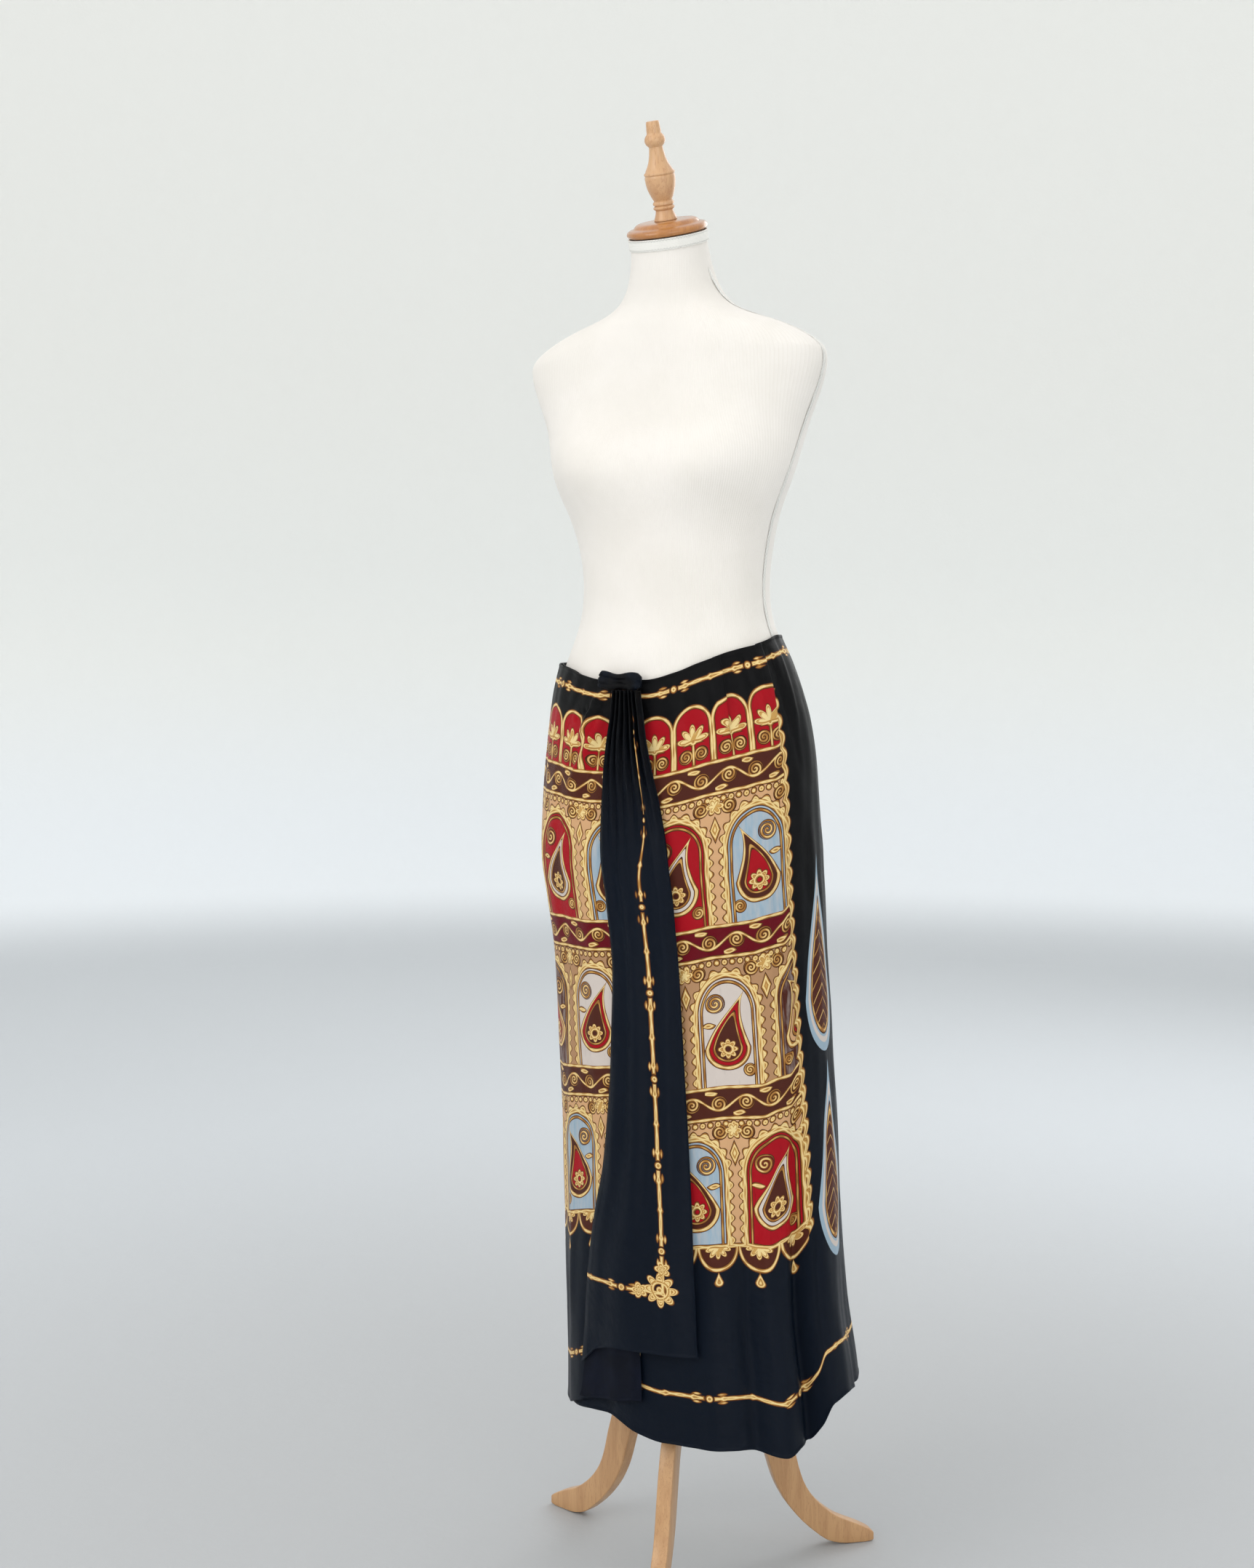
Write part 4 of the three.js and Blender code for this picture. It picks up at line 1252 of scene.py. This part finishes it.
AROUND_TAB, ALONG_TAB = 56, 60
turn_grid, u_grid = np.meshgrid(
    np.linspace(0, 2 * math.pi, AROUND_TAB, endpoint=False),
    np.concatenate([[0, 0.008, 0.02], np.linspace(0.04, 0.96, ALONG_TAB), [0.98, 0.992, 1]]),
)
points = tab_points(u_grid, turn_grid)
index = np.arange(u_grid.size).reshape(u_grid.shape)
beyond = np.roll(index, -1, axis=1)
faces = np.stack([index[:-1], index[1:], beyond[1:], beyond[:-1]], axis=-1).reshape(-1, 4).tolist()
faces += [index[0].tolist(), index[-1, ::-1].tolist()]
mesh = bpy.data.meshes.new("waist_tab_silk")
mesh.from_pydata(points.reshape(-1, 3).tolist(), [], faces)
tab = bpy.data.objects.new("waist_tab_silk", mesh)
bpy.context.scene.collection.objects.link(tab)
select_only(tab)
bpy.ops.object.mode_set(mode="EDIT")
bpy.ops.mesh.select_all(action="SELECT")
bpy.ops.mesh.normals_make_consistent(inside=False)
bpy.ops.object.mode_set(mode="OBJECT")
shade_smooth(tab, 60)
mesh.materials.append(tab_silk())
dress(tab, "waist_tab")
print("tab faces:", len(mesh.polygons))

# %% [markdown]
# The form's torso is papier-mache under a stretched cream jersey. The frame already has its shape, so a copy
# of that mesh is merged, its triangles are paired into squares, and Subdivision Surface makes it smooth. The
# jersey is a fine knit: its upright ribs are a bump that follows the angle round the body.

# %% Torso in cream jersey
def finer_copy(node, name, levels):
    """A copy of a node's mesh, merged, in squares where it can be, and subdivided."""
    obj = bpy.data.objects.new(name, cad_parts[node].data.copy())
    obj.data.name = name
    obj.data.materials.clear()
    bpy.context.scene.collection.objects.link(obj)
    select_only(obj)
    bpy.ops.object.mode_set(mode="EDIT")
    bpy.ops.mesh.select_all(action="SELECT")
    bpy.ops.mesh.remove_doubles(threshold=0.00002)
    bpy.ops.mesh.tris_convert_to_quads(face_threshold=math.radians(60), shape_threshold=math.radians(60))
    bpy.ops.mesh.normals_make_consistent(inside=False)
    bpy.ops.object.mode_set(mode="OBJECT")
    smooth = obj.modifiers.new("smooth", "SUBSURF")
    smooth.levels = smooth.render_levels = levels
    bpy.ops.object.modifier_apply(modifier="smooth")
    return obj


JERSEY = srgb(234, 229, 222)
PALE_JERSEY = srgb(240, 235, 229)
RIB_SHADE = srgb(220, 212, 202)
RIBS = 300
COURSE_TALL = 0.0013
TORSO_FORWARD = 0.045


def jersey():
    material, tree, shader = new_material("jersey", 0.86)
    shader.inputs["Sheen Weight"].default_value = 0.2
    shader.inputs["Sheen Roughness"].default_value = 0.5
    shader.inputs["Specular IOR Level"].default_value = 0.2
    place, (x, y, z) = surface_place(tree)
    angle = math_node(tree, "ARCTAN2", x - POLE.x, -(y - (POLE.y - TORSO_FORWARD)))
    wales = (angle * RIBS).sine()
    courses = (z * (2 * math.pi / COURSE_TALL)).sine()
    shade = noise(tree, place, 9.0)
    colour = paint(tree, JERSEY, PALE_JERSEY, ramp(shade, 0.3, 0.7))
    colour = paint(tree, colour, RIB_SHADE, ramp(wales, 0.6, 1.0) * 0.18)
    colour_with(tree, shader, colour)
    raise_by(tree, shader, wales * 0.6 + wales * courses * 0.3 + noise(tree, place, 500.0) * 0.5, 0.00012)
    return material


torso = finer_copy("torso", "torso_jersey", 2)
shade_smooth(torso, 50)
torso.data.materials.append(jersey())
dress(torso, "torso")
print("torso faces:", len(torso.data.polygons))

# %% [markdown]
# White woven tape covers the jersey's side seams, sewn down with a zigzag. A braid of the same white goes
# round the neck. Subdivision draws the torso in by a hair, so each tape is made from the frame's and then
# laid on the smoothed jersey. Its weave and stitches are drawn on a map of its own, across the tape and
# along it.

# %% White tape
TAPE_WHITE = srgb(252, 250, 244)
STITCH_SHADE = srgb(222, 221, 216)
STITCH_IN = 0.0016
STITCH_SWING = 0.0026
THREAD_ALONG = 0.0011
THREAD_ACROSS = 0.0012


def threads(place, pitch):
    return (place * (2 * math.pi / pitch)).sine() * 0.3


def white_tape(name, wide, turn):
    """Woven tape with a zigzag near both edges, drawn on the map "tape", in metres."""
    material, tree, shader = new_material(name, 0.92)
    shader.inputs["Specular IOR Level"].default_value = 0.2
    _, across, along = cloth_place(tree, "tape")
    wave = (abs((along / turn).part() - 0.5) - 0.25) * STITCH_SWING
    from_edge = abs(abs(across) - (wide / 2 - STITCH_IN) + wave)
    stitch = ramp(from_edge, 0.0008, 0.0003)
    weave = threads(along, THREAD_ALONG) + threads(across, THREAD_ACROSS)
    colour_with(tree, shader, paint(tree, TAPE_WHITE, STITCH_SHADE, stitch * 0.75))
    raise_by(tree, shader, weave - stitch, 0.0004)
    return material


print("the stitches lie in from a tape's edge by", STITCH_IN)

# %% Side tapes laid on the jersey
def points_of(obj):
    return np.array([v.co for v in obj.data.vertices])


def near_points(mesh):
    """A search tree of a mesh's faces."""
    return BVHTree.FromPolygons([v.co for v in mesh.vertices], [p.vertices for p in mesh.polygons])


TAPE_WIDE = 0.007
TAPE_GAP = 0.0003
TAPE_SUNK = 0.0002
TAPE_FLAT = 0.6
SLICE = 0.012
bare_torso = near_points(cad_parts["torso"].data)
dressed_torso = near_points(torso.data)


def seat_on_torso(obj):
    """Lays a tape on the jersey, a little flatter than the frame has it."""
    for vertex in obj.data.vertices:
        height = bare_torso.find_nearest(vertex.co)[3]
        place, normal, _, _ = dressed_torso.find_nearest(vertex.co)
        vertex.co = place + normal * ((height - TAPE_GAP) * TAPE_FLAT - TAPE_SUNK)
    obj.data.update()


def tape_places(co):
    """Each point of a side tape, across from the middle of its own slice and along by height."""
    heights = co[:, 2]
    across = np.zeros(len(co))
    for i, height in enumerate(heights):
        slice_y = co[abs(heights - height) < SLICE, 1]
        across[i] = co[i, 1] - (slice_y.max() + slice_y.min()) / 2
    return np.stack([across, heights], axis=-1)


side_white = white_tape("side_tape_white", TAPE_WIDE, 0.0042)
for side in ("left", "right"):
    tape = finer_copy(f"side_tape_{side}", f"side_tape_{side}_woven", 1)
    shade_smooth(tape, 40)
    add_map(tape.data, "tape", tape_places(points_of(tape)))
    seat_on_torso(tape)
    tape.data.materials.append(side_white)
    dress(tape, f"side_tape_{side}")
    print(tape.name, "faces:", len(tape.data.polygons))

# %% [markdown]
# The head of the form is turned wood on the tipped neck. Turned pieces are made as on a lathe: a circle of
# the first radius is extruded upwards ring by ring and scaled to the next radius. They are made upright at
# the origin, and then their points are moved to the neck, so the objects themselves stay unturned.

# %% A lathe
def on_the_lathe(name, profile, around=72, closed=False):
    """A turned piece from rows of radius and height. A closed profile makes a ring."""
    (radius, height), *rest = profile
    bpy.ops.object.select_all(action="DESELECT")
    fill = "NOTHING" if closed else "NGON"
    bpy.ops.mesh.primitive_circle_add(vertices=around, radius=radius, fill_type=fill, location=(0, 0, height))
    obj = named(name)
    bpy.ops.object.transform_apply(location=True, rotation=False, scale=False)
    bpy.ops.object.mode_set(mode="EDIT")
    bpy.ops.mesh.select_all(action="SELECT")
    for next_radius, next_height in rest:
        move = {"value": (0, 0, next_height - height)}
        if closed:
            bpy.ops.mesh.extrude_edges_move(TRANSFORM_OT_translate=move)
        else:
            bpy.ops.mesh.extrude_region_move(TRANSFORM_OT_translate=move)
        scale = next_radius / radius
        bpy.ops.transform.resize(value=(scale, scale, 1), center_override=(0, 0, next_height))
        radius, height = next_radius, next_height
    bpy.ops.mesh.select_all(action="SELECT")
    bpy.ops.mesh.remove_doubles(threshold=0.00001)
    bpy.ops.mesh.normals_make_consistent(inside=False)
    bpy.ops.object.mode_set(mode="OBJECT")
    return obj


NECK_FORWARD = -0.070
NECK_TOP = 1.659
NECK_TILT = math.radians(19)
neck_middle = Matrix.Translation((POLE.x, POLE.y + NECK_FORWARD, BASE + NECK_TOP))
HEAD_PLACE = neck_middle @ Matrix.Rotation(NECK_TILT, 4, "X")


def finish(obj, place, material, node):
    """Moves a piece's points to their place, and gives it its finish and its node."""
    obj.data.transform(place)
    obj.data.update()
    obj.data.materials.append(material)
    dress(obj, node)
    print(obj.name, "faces:", len(obj.data.polygons))


# %% [markdown]
# Wood is drawn from stretched noise: long along the grain and short across it, with a few darker growth
# lines. Varnish is a clear coat over a warmer, deeper colour. The coat's values are set on the shader's own
# sockets. The cap is cut across a board, so its grain lies level, and the finial's runs along the neck.

# %% Wood
GRAIN_LONG = 0.09


def wood(name, light, dark, roughness, coat, grain):
    """Wood whose grain runs along the direction grain, a unit vector."""
    material, tree, shader = new_material(name, roughness)
    shader.inputs["Coat Weight"].default_value = coat
    shader.inputs["Coat Roughness"].default_value = 0.12
    place, _ = surface_place(tree)
    turn = Vector(grain).rotation_difference(Vector((0, 0, 1)))
    mapping = tree.nodes.new("ShaderNodeMapping")
    tree.links.new(place, mapping.inputs["Vector"])
    mapping.inputs["Rotation"].default_value = turn.to_euler()
    mapping.inputs["Scale"].default_value = (1, 1, GRAIN_LONG)
    along = mapping.outputs["Vector"]
    fibres = noise(tree, along, 900.0, 2.0)
    figure = noise(tree, along, 85.0, 4.0, 0.6)
    lines = abs((figure * 9.0).part() - 0.5)
    colour = paint(tree, light, dark, ramp(figure, 0.35, 0.75) * 0.55)
    colour = paint(tree, colour, dark, ramp(lines, 0.12, 0.0) * 0.5)
    colour = paint(tree, colour, light, ramp(fibres, 0.45, 0.8) * 0.35)
    colour_with(tree, shader, colour)
    raise_by(tree, shader, fibres * 0.5 + figure, 0.0002)
    return material


LEVEL = (1, 0, 0)
UPRIGHT = (0, 0, 1)
NECK_AXIS = (0, -math.sin(NECK_TILT), math.cos(NECK_TILT))
CAP_LIGHT, CAP_DARK = srgb(186, 124, 60), srgb(146, 84, 38)
FINIAL_LIGHT, FINIAL_DARK = srgb(212, 168, 124), srgb(172, 118, 76)


def stand_wood(name, grain):
    """The pale wood of the stand's pieces, whose grain runs a different way in each."""
    return wood(name, srgb(200, 156, 110), srgb(166, 119, 77), 0.45, 0.25, grain)


varnished = wood("varnished_wood", CAP_LIGHT, CAP_DARK, 0.34, 0.7, LEVEL)
turned_wood = wood("turned_wood", FINIAL_LIGHT, FINIAL_DARK, 0.42, 0.3, NECK_AXIS)
pale_wood = stand_wood("pale_wood", UPRIGHT)
print("nodes in the varnished wood:", len(varnished.node_tree.nodes))

# %% Neck band, cap and finial
CLEAR = 0.0003
NECK_RADIUS = 0.0468
BAND_LOW, BAND_HIGH = -0.014, -0.0005
BAND_IN = NECK_RADIUS + CLEAR
BAND_OUT = BAND_IN + 0.0014
BAND_FACE = BAND_IN + 0.0017
BAND_CORD = BAND_IN + 0.0019
band = on_the_lathe("neck_braid", [
    (BAND_IN, BAND_LOW), (BAND_OUT, BAND_LOW),
    (BAND_CORD, BAND_LOW + 0.0012), (BAND_OUT, BAND_LOW + 0.0026),
    (BAND_FACE, -0.0092), (BAND_FACE, -0.0056),
    (BAND_OUT, BAND_HIGH - 0.0026), (BAND_CORD, BAND_HIGH - 0.0012),
    (BAND_OUT, BAND_HIGH), (BAND_IN, BAND_HIGH), (BAND_IN, BAND_LOW),
], around=96, closed=True)
shade_smooth(band, 35)
co = points_of(band)
round_neck = np.arctan2(co[:, 0], -co[:, 1]) * BAND_IN
add_map(band.data, "tape", np.stack([co[:, 2] - (BAND_LOW + BAND_HIGH) / 2, round_neck], axis=-1))
braid = white_tape("neck_braid_white", BAND_HIGH - BAND_LOW, 0.0036)
finish(band, HEAD_PLACE, braid, "neck_band")

CAP_HIGH = 0.016
cap = on_the_lathe("neck_cap_turned", [
    (0.0447, CLEAR), (0.0471, 0.0008), (0.0487, 0.0021), (0.0495, 0.0037), (0.0495, 0.0053),
    (0.0489, 0.0070), (0.0472, 0.0086), (0.0451, 0.0096), (0.0425, 0.0101), (0.0407, 0.0107),
    (0.0396, 0.0120), (0.0384, 0.0133), (0.0367, 0.0146), (0.0341, 0.0156), (0.0309, 0.0159),
    (0.0162, CAP_HIGH),
])
shade_smooth(cap, 35)
finish(cap, HEAD_PLACE, varnished, "neck_cap")

FINIAL_FOOT = CAP_HIGH + CLEAR
finial_profile = [
    (0.0140, 0.0000), (0.0142, 0.0010), (0.0136, 0.0024), (0.0124, 0.0052), (0.0112, 0.0087),
    (0.0106, 0.0118), (0.0112, 0.0126), (0.0127, 0.0136), (0.0131, 0.0150), (0.0123, 0.0164),
    (0.0109, 0.0172), (0.0112, 0.0177), (0.0127, 0.0186), (0.0130, 0.0202), (0.0121, 0.0219),
    (0.0110, 0.0230), (0.0130, 0.0270), (0.0154, 0.0327), (0.0172, 0.0383), (0.0182, 0.0444),
    (0.0185, 0.0497), (0.0183, 0.0519), (0.0177, 0.0530), (0.0186, 0.0538), (0.0189, 0.0549),
    (0.0184, 0.0560), (0.0172, 0.0571), (0.0150, 0.0612), (0.0127, 0.0655), (0.0108, 0.0707),
    (0.0094, 0.0767), (0.0086, 0.0819), (0.0084, 0.0854), (0.0098, 0.0869), (0.0116, 0.0890),
    (0.0125, 0.0915), (0.0126, 0.0934), (0.0121, 0.0958), (0.0110, 0.0981), (0.0094, 0.0998),
    (0.0087, 0.1011), (0.0088, 0.1032), (0.0085, 0.1072), (0.0081, 0.1124), (0.0076, 0.1145),
    (0.0066, 0.1150), (0.0030, 0.1150),
]
finial = on_the_lathe("finial_turned", [(radius, FINIAL_FOOT + z) for radius, z in finial_profile])
shade_smooth(finial, 40)
finish(finial, HEAD_PLACE, turned_wood, "finial")

# %% [markdown]
# The stand: a pole, a six-sided hub, and three cabriole legs. A leg is sawn from a board along an S-curve,
# so its sides are flat and its edges rounded. It starts as one upright face against the hub, which is
# extruded along the curve and set to each station's slope and depth. One leg is modelled, and then copied
# to its three places, each copy with its own mesh and with its grain along its own board.

# %% Pole and hub
HUB_FLAT = 0.023
HUB_FOOT, HUB_TOP = 0.212, 0.292
FORM_FOOT = BASE + 0.834
LEG_ANGLES = {"leg_front": 12, "leg_left": 132, "leg_right": -108}
STAND_PLACE = Matrix.Translation((POLE.x, POLE.y, 0))

POLE_RADIUS = 0.0125
POLE_END = 0.0112
POLE_BEVEL = 0.0016
pole = on_the_lathe("pole_turned", [
    (POLE_END, HUB_TOP + CLEAR), (POLE_RADIUS, HUB_TOP + POLE_BEVEL),
    (POLE_RADIUS, FORM_FOOT - POLE_BEVEL), (POLE_END, FORM_FOOT - CLEAR),
], around=48)
shade_smooth(pole, 40)
finish(pole, STAND_PLACE, pale_wood, "pole")

bpy.ops.object.select_all(action="DESELECT")
bpy.ops.mesh.primitive_cylinder_add(
    vertices=6, radius=HUB_FLAT / math.cos(math.pi / 6), depth=HUB_TOP - HUB_FOOT,
    location=(0, 0, (HUB_TOP + HUB_FOOT) / 2),
)
hub = named("hub_block")
bpy.ops.object.transform_apply(location=True, rotation=False, scale=False)
bevel = hub.modifiers.new("worn_edges", "BEVEL")
bevel.width = 0.0022
bevel.segments = 3
bpy.ops.object.modifier_apply(modifier="worn_edges")
shade_smooth(hub, 35)
hub_turn = Matrix.Rotation(math.radians(LEG_ANGLES["leg_front"] + 30), 4, "Z")
finish(hub, STAND_PLACE @ hub_turn, pale_wood, "leg_hub")

# %% One leg along its curve
LEG_WIDE = 0.019
LEG_EDGE = 0.003
LEG_STATIONS = 38
leg_line = table("number out z half slope", [
    (0, 0.0233, 0.2445, 0.0180, 0),
    (1, 0.0500, 0.2400, 0.0180, -18),
    (2, 0.0738, 0.2255, 0.0176, -38),
    (3, 0.0925, 0.2055, 0.0174, -53),
    (4, 0.1062, 0.1818, 0.0180, -64),
    (5, 0.1160, 0.1561, 0.0188, -71),
    (6, 0.1241, 0.1299, 0.0188, -73),
    (7, 0.1317, 0.1036, 0.0180, -69),
    (8, 0.1428, 0.0786, 0.0166, -60),
    (9, 0.1588, 0.0563, 0.0160, -50),
    (10, 0.1780, 0.0375, 0.0162, -40),
    (11, 0.1975, 0.0232, 0.0168, -30),
    (12, 0.2160, 0.0162, 0.0152, -20),
    (13, 0.2330, 0.0122, 0.0118, -12),
    (14, 0.2460, 0.0088, 0.0086, -6),
    (15, 0.2540, 0.0070, 0.0052, 0),
])


def leg_station(number):
    """A leg's row at any number along it, on a smooth curve."""
    return {c: float(look(leg_line, "number", c, np.array(number))) for c in ("out", "z", "half", "slope")}


bpy.ops.object.select_all(action="DESELECT")
stations = [leg_station(n) for n in np.linspace(0, len(leg_line) - 1, LEG_STATIONS)]
now = stations[0]
bpy.ops.mesh.primitive_plane_add(size=1, location=(now["out"], 0, now["z"]), rotation=(0, math.pi / 2, 0))
leg = named("leg")
bpy.ops.object.transform_apply(location=True, rotation=True, scale=False)
bpy.ops.object.mode_set(mode="EDIT")
bpy.ops.mesh.select_all(action="SELECT")
bpy.ops.transform.resize(value=(1, LEG_WIDE, 2 * now["half"]), center_override=(now["out"], 0, now["z"]))
for there in stations[1:]:
    step = (there["out"] - now["out"], 0, there["z"] - now["z"])
    bpy.ops.mesh.extrude_region_move(TRANSFORM_OT_translate={"value": step})
    middle = (there["out"], 0, there["z"])
    scale = there["half"] / now["half"]
    bpy.ops.transform.resize(value=(scale, 1, scale), center_override=middle)
    turn = math.radians(there["slope"] - now["slope"])
    bpy.ops.transform.rotate(value=turn, orient_axis="Y", center_override=middle)
    now = there
bpy.ops.mesh.select_all(action="SELECT")
bpy.ops.mesh.normals_make_consistent(inside=False)
bpy.ops.object.mode_set(mode="OBJECT")
rounded = leg.modifiers.new("rounded_edges", "BEVEL")
rounded.width = LEG_EDGE
rounded.segments = 3
rounded.limit_method = "ANGLE"
rounded.angle_limit = math.radians(40)
bpy.ops.object.modifier_apply(modifier="rounded_edges")
shade_smooth(leg, 35)
reach = points_of(leg)
print("leg reaches from", np.round(reach.min(0), 4), "to", np.round(reach.max(0), 4))

# %% Three legs
GRAIN_OUT, GRAIN_DOWN = 0.62, -0.78

for name, degrees in LEG_ANGLES.items():
    sawn = bpy.data.objects.new(f"{name}_sawn", leg.data.copy())
    bpy.context.scene.collection.objects.link(sawn)
    turn = math.radians(degrees)
    grain = Vector((GRAIN_OUT * math.sin(turn), -GRAIN_OUT * math.cos(turn), GRAIN_DOWN)).normalized()
    place = STAND_PLACE @ Matrix.Rotation(turn - math.pi / 2, 4, "Z")
    finish(sawn, place, stand_wood(f"{name}_wood", grain), name)
bpy.data.objects.remove(leg)
